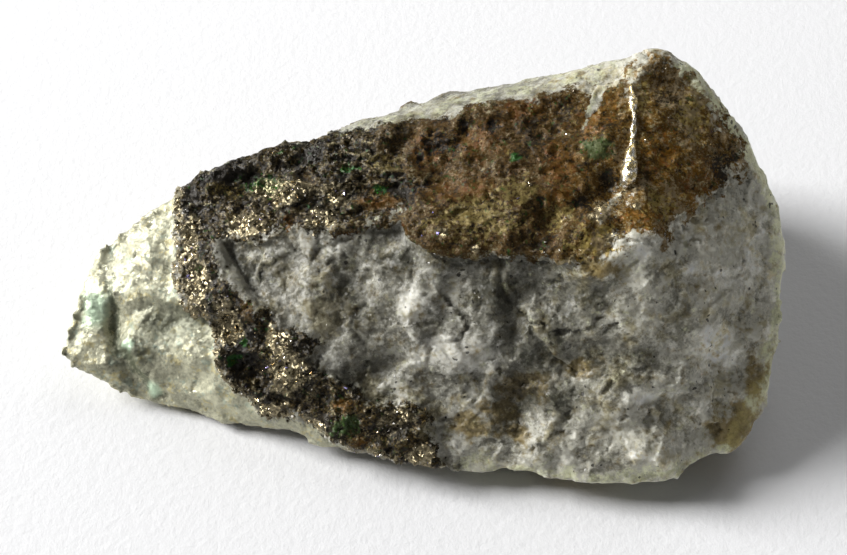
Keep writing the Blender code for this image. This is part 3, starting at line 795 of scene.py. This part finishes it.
def splinters(tree, size, shift=0.0):
    """Three random numbers for each little cell about size across, as a colour."""
    place = put(tree, "ShaderNodeTexCoord").outputs["Object"]
    bent = put(tree, "ShaderNodeTexNoise", {"Vector": place, "Scale": 1.0 / (size * MM), "Detail": 2.0})
    bend = 0.7 * size * MM
    offset = put(tree, "ShaderNodeVectorMath", {0: bent.outputs["Color"], 1: (bend, bend, bend), 2: place},
                 operation="MULTIPLY_ADD").outputs[0]
    if shift:
        offset = put(tree, "ShaderNodeVectorMath", {0: offset, 1: (shift, shift, shift)}).outputs[0]
    return put(tree, "ShaderNodeTexVoronoi", {"Vector": offset, "Scale": 1.0 / (size * MM)}).outputs["Color"]


def splintered(tree, tilt, sizes):
    """The way out of the surface, tilted at random in each little cell, as on broken grains."""
    way = put(tree, "ShaderNodeNewGeometry").outputs["Normal"]
    for size in sizes:
        lean = put(tree, "ShaderNodeVectorMath", {0: splinters(tree, size), 1: (0.5, 0.5, 0.5)},
                   operation="SUBTRACT").outputs[0]
        way = put(tree, "ShaderNodeVectorMath", {0: way, 1: scaled(tree, lean, tilt)}).outputs[0]
    return put(tree, "ShaderNodeVectorMath", {0: way}, operation="NORMALIZE").outputs[0]


def kept(tree, name):
    """A value that was kept on the mesh."""
    return put(tree, "ShaderNodeAttribute", attribute_name=name).outputs["Fac"]


def nudged(tree, value, **shares):
    """The value, plus a share of each kept value that is named."""
    for name, share in shares.items():
        value = times_plus(tree, kept(tree, name), share, value)
    return value


def cover(tree, colour, mask, edges, share, coat, how="MIX"):
    """The colour with a coat over it where the mask passes from the first edge to the second."""
    return blend(tree, times(tree, ease(tree, mask, *edges), share), colour, coat, how)


def coats(tree, colour, *layers):
    """The colour under coats, the lowest first: each a mask, its two edges, a share and a colour."""
    for layer in layers:
        mask, edges, *coat = layer
        colour = cover(tree, colour, mask, edges, *coat)
    return colour


def plus(tree, name, *sizes, shift):
    """A kept value with noises of these sizes added, so that its rim is torn."""
    return sums(tree, "ADD", kept(tree, name), swings(tree, *sizes, shift=shift))


def new_finish(name):
    """A material with one Principled surface: its tree and that surface."""
    material = bpy.data.materials.new(name)
    material.use_nodes = True
    tree = material.node_tree
    return material, tree, tree.nodes["Principled BSDF"]


# %% [markdown]
# ## The finish of the stone
#
# Quartz, ore and fresh metal lie side by side on one skin, so they share one finish. Each has its own
# colour, made here by a function, and the kept depths choose between them, with a little noise at the
# border. Quartz is grey where one sees into it and white where it is crushed, and light travels a
# short way inside it. Ore is a mottle of rust, olive and near black, dull with metallic specks. Fresh
# metal is champagne, half metallic, and painted darker in its hollows and grooves, as dirt and painted shade.

# %% Colours of quartz, ore and fresh metal
SEEN_INTO = paint(82, 81, 70)
QUARTZ_GREY = paint(125, 123, 111)
QUARTZ_PALE = paint(166, 164, 152)
QUARTZ_WHITE = paint(214, 212, 201)
RIM_MILK = paint(196, 197, 166)
RIM_SHADE = paint(154, 155, 124)
HONEY = paint(226, 216, 180)
IRON_STAIN = paint(190, 170, 120)
SOOT = paint(20, 16, 10)
ORE_DARK = paint(34, 24, 4)
ORE_BROWN = paint(70, 50, 10)
ORE_RUST = paint(86, 57, 3)
ORE_RED = paint(86, 46, 3)
ORE_HAZE = paint(104, 92, 70)
ORE_SLATE = paint(54, 50, 30)
ORE_OLIVE = paint(112, 98, 52)
ORE_GREY = paint(112, 104, 78)
ORE_EDGE = paint(140, 130, 94)
ORE_METAL = paint(176, 163, 130)
COPPER_GREEN = paint(24, 70, 14)
GREEN_FADED = paint(46, 54, 26)
COPPER_MINT = paint(222, 246, 214)
BREAK_PALE = paint(196, 194, 167)
BREAK_GREY = paint(146, 145, 126)
BREAK_DARK = paint(84, 90, 70)
BREAK_GOLD = paint(196, 184, 134)
BREAK_TEAL = paint(150, 170, 158)
BREAK_FACET_SHADE = paint(146, 149, 145)


def streaks(tree, across, along):
    """Noise drawn out along the layers of the ore: thin across them and long along them."""
    place = put(tree, "ShaderNodeTexCoord").outputs["Object"]
    turned = put(tree, "ShaderNodeMapping", {
        "Vector": place, "Rotation": (0.0, -0.22, 0.0), "Scale": (across / along, 1.0, 1.0)}).outputs[0]
    return put(tree, "ShaderNodeTexNoise", {
        "Vector": turned, "Scale": 1.0 / (across * MM), "Detail": 3.0, "Roughness": 0.6,
        "Distortion": 0.6}).outputs["Fac"]


def lightened(tree, colour, how_much):
    """The colour, lighter by that share where painted light and bleaching are kept."""
    return scaled(tree, colour, nudged(tree, 1.0, sunny=how_much))


def quartz_colour(tree):
    """Grey glassy quartz with white crushed places, brown stains and a few soot specks."""
    busy = nudged(tree, 1.0, calm=-0.8)
    grain = times_plus(tree, splinters(tree, 0.3), 0.16, -0.08)
    grain = sums(tree, "ADD", grain, swings(tree, (2.6, 0.8), (0.9, 0.55), (0.3, 0.6), (0.12, 0.6)))
    # Each facet's tone follows its tilt: painted light and shade.
    grain = nudged(tree, grain, facet=0.14)
    # Darker where one sees into the quartz, with painted shade along the crease and under the seam.
    tone = times_plus(tree, grain, busy, nudged(tree, 0.49, pale=0.2, sunny=0.16, deep=-0.33))
    # Painted shade in the hollows, and painted lighter where the skin stands high.
    tone = nudged(tree, tone, hollow=-0.1, worn=0.1)
    colour = blend(tree, ease(tree, tone, 0.1, 0.45), SEEN_INTO, QUARTZ_GREY)
    colour = blend(tree, ease(tree, tone, 0.45, 0.72), colour, QUARTZ_PALE)
    crushed = nudged(tree, swings(tree, (1.5, 0.8), (0.5, 0.7), (0.18, 0.5), shift=2.0),
                     facet=0.16, pale=0.24, white=0.3)
    white = times(tree, ease(tree, crushed, 0.14, 0.5), busy)
    colour = blend(tree, times(tree, white, 0.85), colour, QUARTZ_WHITE)
    honey = swings(tree, (3.0, 1.0), (1.0, 0.8), (0.3, 0.5), shift=4.0)
    # The milky rims: pale weathered quartz, part of whose paleness is painted light.
    milk = plus(tree, "rim", (0.9, 2.2), (0.3, 2.0), (0.12, 1.2), shift=5.0)
    milky = blend(tree, ease(tree, grain, -0.24, 0.16), RIM_SHADE, RIM_MILK)
    colour = coats(
        tree, colour,
        (honey, (0.0, 0.2), 0.7, HONEY, "MULTIPLY"),
        (milk, (0.2, 1.1), 0.85, milky),
        (plus(tree, "brown", (0.9, 2.2), (0.3, 1.6), shift=3.0), (0.05, 0.8), 0.9, IRON_STAIN, "MULTIPLY"),
        (mottle(tree, 0.45, 1.0, shift=7.0), (0.72, 0.75), 0.8, SOOT))
    # Lighter toward the thick end and the foot, as painted light, and in the bleached places.
    return lightened(tree, colour, 0.68)


def ore_colour(tree):
    """Tarnished ore: a fine mixture of dark, brown, rust, red, olive and grey, with black pits."""
    tone = swings(tree, (2.2, 1.0), (0.8, 1.3), (0.3, 1.4), (0.12, 1.6), shift=9.0)
    tone = times(tree, tone, nudged(tree, 1.0, sooty=0.8, sunny=0.1))
    # Lighter where the skin stands high, and each facet's tone follows its tilt: painted light and shade.
    tone = nudged(tree, tone, worn=0.24, facet=0.2)
    fibre = times(tree, sums(tree, "SUBTRACT", streaks(tree, 0.16, 1.6), 0.5), kept(tree, "layered"))
    tone = times_plus(tree, fibre, 3.4, tone)
    colour = blend(tree, ease(tree, tone, -0.4, 0.1), ORE_DARK, ORE_BROWN)
    colour = cover(tree, colour, tone, (0.2, 0.6), 0.8, ORE_GREY)
    colour = blend(tree, times(tree, kept(tree, "sooty"), 0.45), colour, ORE_SLATE)
    rusty = nudged(tree, swings(tree, (0.9, 0.8), (0.26, 0.9), shift=11.0), rust=0.3, sooty=-0.16, sunny=-0.08)
    red = nudged(tree, swings(tree, (0.4, 1.0), (0.16, 0.9), shift=13.0), rust=0.14, sooty=-0.14)
    mossy = nudged(tree, swings(tree, (0.5, 1.0), (0.18, 1.2), shift=15.0), olive=0.32)
    edge = sums(tree, "ADD", kept(tree, "ridge"), times(tree, fibre, 1.6))
    haze = nudged(tree, swings(tree, (0.8, 1.6), (0.25, 1.6), (0.1, 0.8), shift=35.0), sunny=0.42, rust=-0.26)
    # Black tarnish and soot at random, with painted shade in the hollows and painted shadow under the ridges.
    dark = nudged(tree, swings(tree, (0.35, 1.0), (0.13, 1.3), shift=19.0),
                  black=0.34, hollow=0.18, olive=-0.1, under=0.16, glints=0.2, sooty=0.22)
    leafy = plus(tree, "green", (0.5, 2.4), (0.2, 1.8), shift=17.0)
    leaf = blend(tree, ease(tree, kept(tree, "sunny"), 0.0, 0.5), COPPER_GREEN, GREEN_FADED)
    colour = coats(
        tree, colour,
        (rusty, (0.1, 0.4), 0.85, ORE_RUST), (red, (0.14, 0.36), 0.7, ORE_RED),
        (mossy, (0.14, 0.38), 0.85, ORE_OLIVE), (edge, (0.3, 1.0), 0.5, ORE_EDGE),
        (haze, (0.25, 0.7), 0.75, ORE_HAZE), (dark, (0.14, 0.34), 0.92, SOOT),
        (leafy, (0.25, 0.8), 0.9, leaf))
    # Lighter toward the thick end and the foot, as painted light, and in the bleached places.
    return lightened(tree, colour, 1.5)


def break_colour(tree):
    """Fresh metal: champagne and grey in fine grains, darker in clefts, with mint stains."""
    # Each facet's tone follows its tilt: painted light and shade.
    tone = nudged(tree, swings(tree, (1.2, 0.8), (0.4, 0.8), (0.15, 1.0), shift=21.0), facet=0.16)
    colour = blend(tree, ease(tree, tone, -0.45, 0.25), BREAK_GREY, BREAK_PALE)
    golden = swings(tree, (0.9, 1.0), (0.25, 1.0), shift=23.0)
    tealy = swings(tree, (1.1, 1.0), (0.3, 1.0), shift=27.0)
    colour = coats(tree, colour,
                   (golden, (0.06, 0.24), 0.7, BREAK_GOLD), (tealy, (0.1, 0.26), 0.45, BREAK_TEAL))
    # Painted shade on the facets of the break that turn from the light.
    colour = blend(tree, kept(tree, "break_facet_shade"), colour, BREAK_FACET_SHADE, "MULTIPLY")
    # Darker grains at random, with painted shade in the hollows and along the grooves.
    shade = nudged(tree, swings(tree, (0.5, 1.2), (0.18, 1.2), shift=29.0), hollow=0.1, cleft=0.7)
    tarnish = plus(tree, "tarnished", (1.6, 1.0), (0.4, 1.0), shift=31.0)
    colour = coats(tree, colour,
                   (shade, (0.25, 0.75), 0.8, BREAK_DARK), (tarnish, (0.95, 1.25), 0.85, ORE_BROWN))
    return blend(tree, times(tree, kept(tree, "mint"), 0.9), colour, COPPER_MINT)


# %% The stone's finish
def border(tree, name, width=0.05, size=0.3):
    """1 where the kept depth is inside its outline, with a finely torn border."""
    tear = swings(tree, (0.8, 1.5), (size, 1.0), (0.12, 0.5), shift=39.0)
    worn_out = nudged(tree, 1.0, sunny=1.5)
    depth = times_plus(tree, tear, worn_out, kept(tree, name))
    soft = times(tree, worn_out, width)
    return ease(tree, depth, times(tree, soft, -1.0), soft)


def rough_height(tree, sizes):
    """Height for fine bumps, from noises of these sizes, each worth its share."""
    height = 0.0
    for size, share in sizes:
        height = times_plus(tree, mottle(tree, size, 4.0, 0.7, shift=size), share, height)
    return height


def bumps(tree, sizes, strength, depth, **more):
    """The way out of a surface roughened by these noises, its bumps depth millimetres high."""
    inputs = {"Height": rough_height(tree, sizes), "Strength": strength, "Distance": depth * MM, **more}
    return put(tree, "ShaderNodeBump", inputs).outputs[0]


vein_rock, tree, surface = new_finish("vein rock")
is_ore = border(tree, "ore", width=0.12)
is_break = times(tree, border(tree, "fresh"), sums(tree, "SUBTRACT", 1.0, is_ore))
is_metal = sums(tree, "MAXIMUM", is_ore, is_break)
bright = plus(tree, "glints", (0.5, 1.6), (0.2, 1.2), shift=33.0)
torn_edge_glint = plus(tree, "edge_glint", (0.3, 1.4), shift=43.0)
bright = sums(tree, "MAXIMUM", ease(tree, bright, 0.3, 0.8), ease(tree, torn_edge_glint, 0.3, 0.6))
bright = times(tree, bright, is_ore)
colour = blend(tree, is_ore, quartz_colour(tree), ore_colour(tree))
colour = blend(tree, is_break, colour, break_colour(tree))
# Painted highlight: the glints and the seam's left edge are painted in the pale colour of bare metal.
colour = blend(tree, times(tree, bright, 0.65), colour, ORE_METAL)
metallic = times_plus(tree, is_break, 0.3, times(tree, is_ore, 0.3))
metallic = times_plus(tree, bright, 0.4, metallic)
splinter = splinters(tree, 0.3, shift=1.0)
roughness = times_plus(tree, splinter, 0.4, 0.22)
roughness = times_plus(tree, is_ore, 0.15, roughness)
roughness = times_plus(tree, bright, -0.22, roughness)
polish = times(tree, is_ore, kept(tree, "sooty"))
roughness = times_plus(tree, polish, -0.16, roughness)
hackly = nudged(tree, 0.05, sooty=0.35)
smoother = times_plus(tree, is_break, -0.14, 0.35)
tilt = times_plus(tree, is_ore, hackly, smoother)
tilt = times_plus(tree, bright, 0.8, tilt)
tilt = times(tree, tilt, nudged(tree, 1.0, rim=-0.6))
grainy = bumps(tree, ((0.5, 0.5), (0.16, 0.35), (0.07, 0.15)), 0.6, 0.12,
               Normal=splintered(tree, tilt, (0.34, 0.14)))
see_into = times(tree, sums(tree, "SUBTRACT", 1.0, is_metal), 0.6)
feed(tree, surface, {
    "Base Color": colour, "Metallic": metallic, "Roughness": roughness, "Normal": grainy,
    "Subsurface Weight": see_into, "Subsurface Scale": 0.7 * MM, "Subsurface Radius": (1.0, 0.95, 0.85),
    "Specular IOR Level": 0.3,
})
stone.data.materials.clear()
stone.data.materials.append(vein_rock)
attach(stone, "root")
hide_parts("mohawkite_stone")
print("nodes in the stone's finish:", len(tree.nodes))

# %% [markdown]
# ## Grains that stand out of the skin
#
# Sugary quartz is a mass of grains of about half a millimetre, and broken ore sheds crumbs and shows
# flecks of bright metal. Modelling them one by one is hopeless, and bump alone gives no glassy faces
# and no edges. A Geometry Nodes tree scatters a few angular shapes over the skin instead, sinks most
# of each into it, and turns the result into plain mesh. Where a grain may lie is one of the kept
# values, and each grain inherits the others, so it has the colour of the ground that it sits in.

# %% The tree that scatters grains
GRAIN_INPUTS = [
    ("Geometry", "NodeSocketGeometry"), ("Shapes", "NodeSocketCollection"), ("Where", "NodeSocketString"),
    ("Per square millimetre", "NodeSocketFloat"), ("Smallest", "NodeSocketFloat"),
    ("Largest", "NodeSocketFloat"), ("Sunk", "NodeSocketFloat"), ("Seed", "NodeSocketInt"),
    ("Finish", "NodeSocketMaterial"),
]
SQUARE_MILLIMETRES = 1e6
WHOLE_TURN = 2.0 * math.pi


def grain_tree():
    """Scatters the shapes over the surface by a kept value, sinks them in and makes them one mesh."""
    tree = bpy.data.node_groups.new("grains on a surface", "GeometryNodeTree")
    for name, kind in GRAIN_INPUTS:
        tree.interface.new_socket(name, in_out="INPUT", socket_type=kind)
    tree.interface.new_socket("Geometry", in_out="OUTPUT", socket_type="NodeSocketGeometry")
    given = put(tree, "NodeGroupInput").outputs
    where = put(tree, "GeometryNodeInputNamedAttribute", {"Name": given["Where"]}, data_type="FLOAT")
    count = times(tree, given["Per square millimetre"], SQUARE_MILLIMETRES)
    density = times(tree, where.outputs["Attribute"], count)
    spots = put(tree, "GeometryNodeDistributePointsOnFaces", {
        "Mesh": given["Geometry"], "Density": density, "Seed": given["Seed"]})
    chance = put(tree, "FunctionNodeRandomValue", {2: 0.0, 3: 1.0, 8: given["Seed"]}, data_type="FLOAT")
    mostly_small = sums(tree, "POWER", chance.outputs[1], 1.7)
    span = sums(tree, "SUBTRACT", given["Largest"], given["Smallest"])
    size = times(tree, times_plus(tree, mostly_small, span, given["Smallest"]), MM)
    down = times(tree, times(tree, size, given["Sunk"]), -1.0)
    sunk = put(tree, "GeometryNodeSetPosition", {
        "Geometry": spots.outputs["Points"], "Offset": scaled(tree, spots.outputs["Normal"], down)})
    turn = put(tree, "FunctionNodeRandomValue", {
        1: (WHOLE_TURN, WHOLE_TURN, WHOLE_TURN), 8: given["Seed"]}, data_type="FLOAT_VECTOR")
    shapes = put(tree, "GeometryNodeCollectionInfo", {
        "Collection": given["Shapes"], "Separate Children": True, "Reset Children": True})
    grains = put(tree, "GeometryNodeInstanceOnPoints", {
        "Points": sunk.outputs[0], "Instance": shapes.outputs[0], "Pick Instance": True,
        "Rotation": turn.outputs[0], "Scale": size})
    tint = put(tree, "FunctionNodeRandomValue", {2: 0.0, 3: 1.0, 8: 5}, data_type="FLOAT")
    tinted = put(tree, "GeometryNodeStoreNamedAttribute", {
        "Geometry": grains.outputs[0], "Name": "tint", "Value": tint.outputs[1]},
        data_type="FLOAT", domain="INSTANCE")
    whole = put(tree, "GeometryNodeRealizeInstances", {0: tinted.outputs[0]})
    finished = put(tree, "GeometryNodeSetMaterial", {"Geometry": whole.outputs[0], "Material": given["Finish"]})
    put(tree, "NodeGroupOutput", {"Geometry": finished.outputs[0]})
    return tree


grains_on_surface = grain_tree()
print("the tree has", len(grains_on_surface.nodes), "nodes")

# %% [markdown]
# The shapes are convex and angular, because both quartz and this ore break without cleavage. Each is
# the hull of a few random corners, one unit across, so a grain's scale is its size.

# %% Shapes for the grains
CORNER_SEED = 12


def hull(corners):
    """A mesh that is the convex hull of the corners."""
    shape = bmesh.new()
    for corner in corners:
        shape.verts.new(corner)
    made = bmesh.ops.convex_hull(shape, input=shape.verts)
    bmesh.ops.delete(shape, geom=list({*made["geom_interior"], *made["geom_unused"]}), context="VERTS")
    bmesh.ops.recalc_face_normals(shape, faces=shape.faces)
    mesh = bpy.data.meshes.new("grain")
    shape.to_mesh(mesh)
    shape.free()
    return mesh


def angular_shapes(name, kinds, corners, proportions):
    """A collection of random angular shapes. It stays out of the scene."""
    chance = np.random.default_rng(CORNER_SEED)
    shapes = bpy.data.collections.new(name)
    for kind in range(kinds):
        points = chance.normal(size=(corners, 3))
        points *= 0.5 / np.linalg.norm(points, axis=1)[:, None]
        mesh = hull(points * proportions)
        shapes.objects.link(bpy.data.objects.new(f"{name} {kind}", mesh))
    return shapes


blocky = angular_shapes("blocky grains", 8, 9, (1.0, 0.85, 0.7))
shards = angular_shapes("metal shards", 6, 7, (1.0, 0.7, 0.4))

# %% Growing a piece of grains
def grow(name, where, shapes, finish, per_square_mm, sizes, sunk, seed):
    """A piece of its own: grains on the stone wherever the kept value allows them."""
    piece = in_scene(name, stone.data)
    modifier = piece.modifiers.new("grains", "NODES")
    modifier.node_group = grains_on_surface
    settings = {
        "Shapes": shapes, "Where": where, "Per square millimetre": per_square_mm, "Smallest": sizes[0],
        "Largest": sizes[1], "Sunk": sunk, "Seed": seed, "Finish": finish,
    }
    for socket in grains_on_surface.interface.items_tree:
        if socket.in_out == "INPUT" and socket.name in settings:
            modifier[socket.identifier] = settings[socket.name]
    bake_modifiers(piece)
    piece.data.shade_flat()
    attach(piece, "root")
    print(name, len(piece.data.polygons), "faces")


# %% [markdown]
# ## Quartz grains
#
# The grains are glassier than the ground between them: each shows a few flat faces that catch the
# light whole. They take the ground's colour, a little lighter or darker by their own tint.

# %% Quartz grains
glassy, tree, surface = new_finish("quartz grains")
tinted = scaled(tree, quartz_colour(tree), nudged(tree, 0.8, tint=0.42))
grain_roughness = times_plus(tree, ease(tree, kept(tree, "tint"), 0.6, 0.7), -0.34, 0.44)
feed(tree, surface, {
    "Base Color": tinted, "Roughness": grain_roughness,
    "Normal": bumps(tree, ((0.2, 0.6), (0.07, 0.4)), 0.25, 0.05),
    "Subsurface Weight": 0.6, "Subsurface Scale": 0.7 * MM, "Subsurface Radius": (1.0, 0.95, 0.85),
})
grow("quartz_grains", "quartz_grains", blocky, glassy,
     per_square_mm=10.0, sizes=(0.14, 0.52), sunk=0.36, seed=3)

# %% [markdown]
# ## Ore crumbs, flecks and fresh metal
#
# Crumbs are bits of the seam itself, so they wear its finish. Flecks are the bright insides of the ore
# where a corner broke off: gold, champagne, and here and there violet where the tarnish is thinnest.

# %% Metal grains
grow("ore_crumbs", "ore_crumbs", blocky, vein_rock,
     per_square_mm=4.0, sizes=(0.1, 0.4), sunk=0.32, seed=5)

bright_metal, tree, surface = new_finish("bright metal")
kind = kept(tree, "tint")
fleck = blend(tree, ease(tree, kind, 0.0, 0.8), paint(224, 194, 132), paint(255, 252, 242))
fleck = blend(tree, ease(tree, kind, 0.88, 0.9), fleck, paint(176, 168, 226))
fleck_roughness = times_plus(tree, mottle(tree, 0.2, shift=57.0), 0.24, 0.06)
feed(tree, surface, {
    "Base Color": fleck, "Metallic": 1.0, "Roughness": fleck_roughness,
    "Normal": bumps(tree, ((0.08, 1.0),), 0.3, 0.03),
})
grow("metal_flecks", "flecks", shards, bright_metal,
     per_square_mm=20.0, sizes=(0.08, 0.56), sunk=0.2, seed=7)

fresh_metal, tree, surface = new_finish("fresh metal grains")
tinted = scaled(tree, break_colour(tree), nudged(tree, 0.75, tint=0.5))
fresh_roughness = times_plus(tree, mottle(tree, 0.3, shift=61.0), 0.6, 0.15)
feed(tree, surface, {
    "Base Color": tinted, "Metallic": 0.5, "Roughness": fresh_roughness,
    "Normal": bumps(tree, ((0.12, 1.0),), 0.5, 0.05),
})
grow("fresh_metal_grains", "metal_grains", blocky, fresh_metal,
     per_square_mm=8.0, sizes=(0.05, 0.18), sunk=0.42, seed=11)

# %% [markdown]
# ## The bright vein and the green crust
#
# One thread of untarnished metal runs down the right part of the seam and swells at its foot. It is a
# curve laid on the skin, with a radius at each point, turned into mesh and dented by noise. The green
# crust is a copper bloom: little balls, packed where the kept value for green is high.

# %% A thread laid on the skin
skin = BVHTree.FromObject(stone, bpy.context.evaluated_depsgraph_get())
ABOVE = 30.0
THREAD_STEP = 0.12
DENT_SIZE = 0.25


def skin_point(s, t):
    """The point of the skin under a place on the drawing, in metres."""
    start = np.array([s, 0.0, 0.0]) + t * FACE_UP + ABOVE * FACE_OUT
    return skin.ray_cast(Vector((start - MOVED) * MM), -Vector(FACE_OUT))[0]


def lay_thread(name, stations, finish, lift, dent):
    """A thread of varying width along s, t, width stations, standing out by a share of its width."""
    stations = np.array(stations)
    along = np.concatenate([[0.0], np.cumsum(np.linalg.norm(np.diff(stations[:, :2], axis=0), axis=1))])
    steps = np.arange(0.0, along[-1], THREAD_STEP)
    s, t, width = (np.interp(steps, along, column) for column in stations.T)
    curve = bpy.data.curves.new(name, "CURVE")
    curve.dimensions = "3D"
    curve.bevel_depth = 1.0
    curve.bevel_resolution = 2
    curve.use_fill_caps = True
    line = curve.splines.new("POLY")
    line.points.add(len(steps) - 1)
    for point, *place, wide in zip(line.points, s, t, width):
        point.co = (*(skin_point(*place) + Vector(FACE_OUT) * lift * wide * MM), 1.0)
        point.radius = wide / 2.0 * MM
    piece = in_scene(name, curve)
    graph = bpy.context.evaluated_depsgraph_get()
    graph.update()
    mesh = bpy.data.meshes.new_from_object(piece.evaluated_get(graph))
    bpy.data.objects.remove(piece)
    shape = bmesh.new()
    shape.from_mesh(mesh)
    bmesh.ops.remove_doubles(shape, verts=shape.verts, dist=MERGE)
    bmesh.ops.recalc_face_normals(shape, faces=shape.faces)
    for corner in shape.verts:
        away = noise.fractal(corner.co / (DENT_SIZE * MM), 1.0, 2.0, NOISE_OCTAVES)
        corner.co += corner.normal * away * dent * MM
    shape.to_mesh(mesh)
    shape.free()
    mesh.materials.clear()
    mesh.materials.append(finish)
    piece = in_scene(name, mesh)
    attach(piece, "root")
    print(name, len(mesh.polygons), "faces")


BRIGHT_VEIN = [
    (11.8, 14.2, 0.12), (11.9, 13.7, 0.24), (11.9, 13.3, 0.56), (11.9, 12.9, 0.5), (11.92, 12.6, 0.24),
    (11.95, 12.1, 0.24), (11.9, 11.7, 0.42), (11.86, 11.4, 0.28), (11.8, 10.9, 0.34), (11.7, 10.4, 0.6),
    (11.68, 10.0, 0.66), (11.64, 9.6, 0.88), (11.58, 9.1, 0.94), (11.45, 8.7, 0.66), (11.35, 8.3, 0.14),
]
untarnished, tree, surface = new_finish("untarnished metal")
dented = bumps(tree, ((0.15, 0.7), (0.06, 0.3)), 0.6, 0.06, Normal=splintered(tree, 0.6, (0.2,)))
golden = ease(tree, mottle(tree, 0.3), 0.42, 0.56)
feed(tree, surface, {
    "Base Color": blend(tree, golden, paint(255, 250, 238), paint(246, 222, 160)),
    "Metallic": 0.9, "Roughness": 0.27, "Normal": dented,
})
lay_thread("bright_vein", BRIGHT_VEIN, untarnished, lift=0.14, dent=0.07)

# %% The green crust
balls = bpy.data.collections.new("green balls")
ball = bmesh.new()
bmesh.ops.create_uvsphere(ball, u_segments=8, v_segments=5, radius=0.5)
ball_mesh = bpy.data.meshes.new("green ball")
ball.to_mesh(ball_mesh)
ball.free()
balls.objects.link(bpy.data.objects.new("green ball", ball_mesh))

copper_crust, tree, surface = new_finish("copper crust")
crust = blend(tree, kept(tree, "tint"), paint(12, 34, 5), paint(44, 122, 26))
crust = blend(tree, ease(tree, mottle(tree, 0.4, shift=71.0), 0.44, 0.6), crust, paint(70, 72, 16))
crust = cover(tree, crust, kept(tree, "sunny"), (0.0, 0.5), 0.8, paint(72, 80, 42))
feed(tree, surface, {
    "Base Color": crust, "Roughness": 0.6, "Specular IOR Level": 0.15,
    "Normal": bumps(tree, ((0.1, 1.0),), 0.4, 0.03),
})
grow("green_crust", "green_balls", balls, copper_crust,
     per_square_mm=28.0, sizes=(0.06, 0.18), sunk=0.3, seed=17)

# %% [markdown]
# ## Stage
#
# The photograph looks down on the stone by 50 degrees, along the show face's length. Its shadow falls
# to the right and a little forward, so the main light stands low at the left. Two weak lights, behind
# and in front, open the shadows. The floor is plain paper.

# %% Camera, light and floor
PICTURE_ANGLE = math.radians(50.0)
CAMERA_DISTANCE = 90.0
AIM = np.array([0.45, -1.2, 7.0])
HALF_VIEW = math.radians(15.0)
SKY_STRENGTH = 0.066
PAPER_SIZE = 1.2

camera = in_scene("camera", bpy.data.cameras.new("camera"))
camera.data.lens = camera.data.sensor_width / 2.0 / math.tan(HALF_VIEW)
ahead = np.array([0.0, math.cos(PICTURE_ANGLE), -math.sin(PICTURE_ANGLE)])
camera.location = (AIM - MOVED - CAMERA_DISTANCE * ahead) * MM
camera.rotation_euler = (math.pi / 2.0 - PICTURE_ANGLE, 0.0, 0.0)
camera.data.clip_start = 1.0 * MM
bpy.context.scene.camera = camera


def lamp(name, azimuth, elevation, distance, size, power):
    """A square soft light that looks at the stone. Azimuth 0 is in front of it and 90 at its left."""
    light = bpy.data.lights.new(name, "AREA")
    light.shape = "SQUARE"
    light.size = size
    light.energy = power
    obj = in_scene(name, light)
    turn, rise = math.radians(azimuth), math.radians(elevation)
    way = Vector((-math.sin(turn) * math.cos(rise), -math.cos(turn) * math.cos(rise), math.sin(rise)))
    obj.location = way * distance
    obj.rotation_euler = way.to_track_quat("Z", "Y").to_euler()


lamp("main light", azimuth=104.0, elevation=30.0, distance=0.8, size=0.34, power=11.5)
lamp("soft light behind", azimuth=205.0, elevation=44.0, distance=0.3, size=0.2, power=0.19)
lamp("soft light in front", azimuth=-70.0, elevation=35.0, distance=0.8, size=0.3, power=0.16)

world = bpy.data.worlds.new("studio")
world.use_nodes = True
world.node_tree.nodes["Background"].inputs["Color"].default_value = (1.0, 1.0, 1.0, 1.0)
world.node_tree.nodes["Background"].inputs["Strength"].default_value = SKY_STRENGTH
bpy.context.scene.world = world
bpy.context.scene.view_settings.view_transform = "Standard"

paper, tree, surface = new_finish("paper")
tooth = mottle(tree, 0.6, 4.0, 0.7)
bump = put(tree, "ShaderNodeBump", {"Height": tooth, "Strength": 0.4, "Distance": 0.12 * MM})
feed(tree, surface, {"Base Color": paint(240, 240, 241), "Roughness": 0.9, "Normal": bump.outputs[0]})
bpy.ops.mesh.primitive_plane_add(size=PAPER_SIZE, location=(0.0, 0.0, 0.0))
floor = bpy.context.object
floor.name = "paper"
floor.data.materials.append(paper)
print("camera", [round(1000.0 * v, 1) for v in camera.location], "mm")
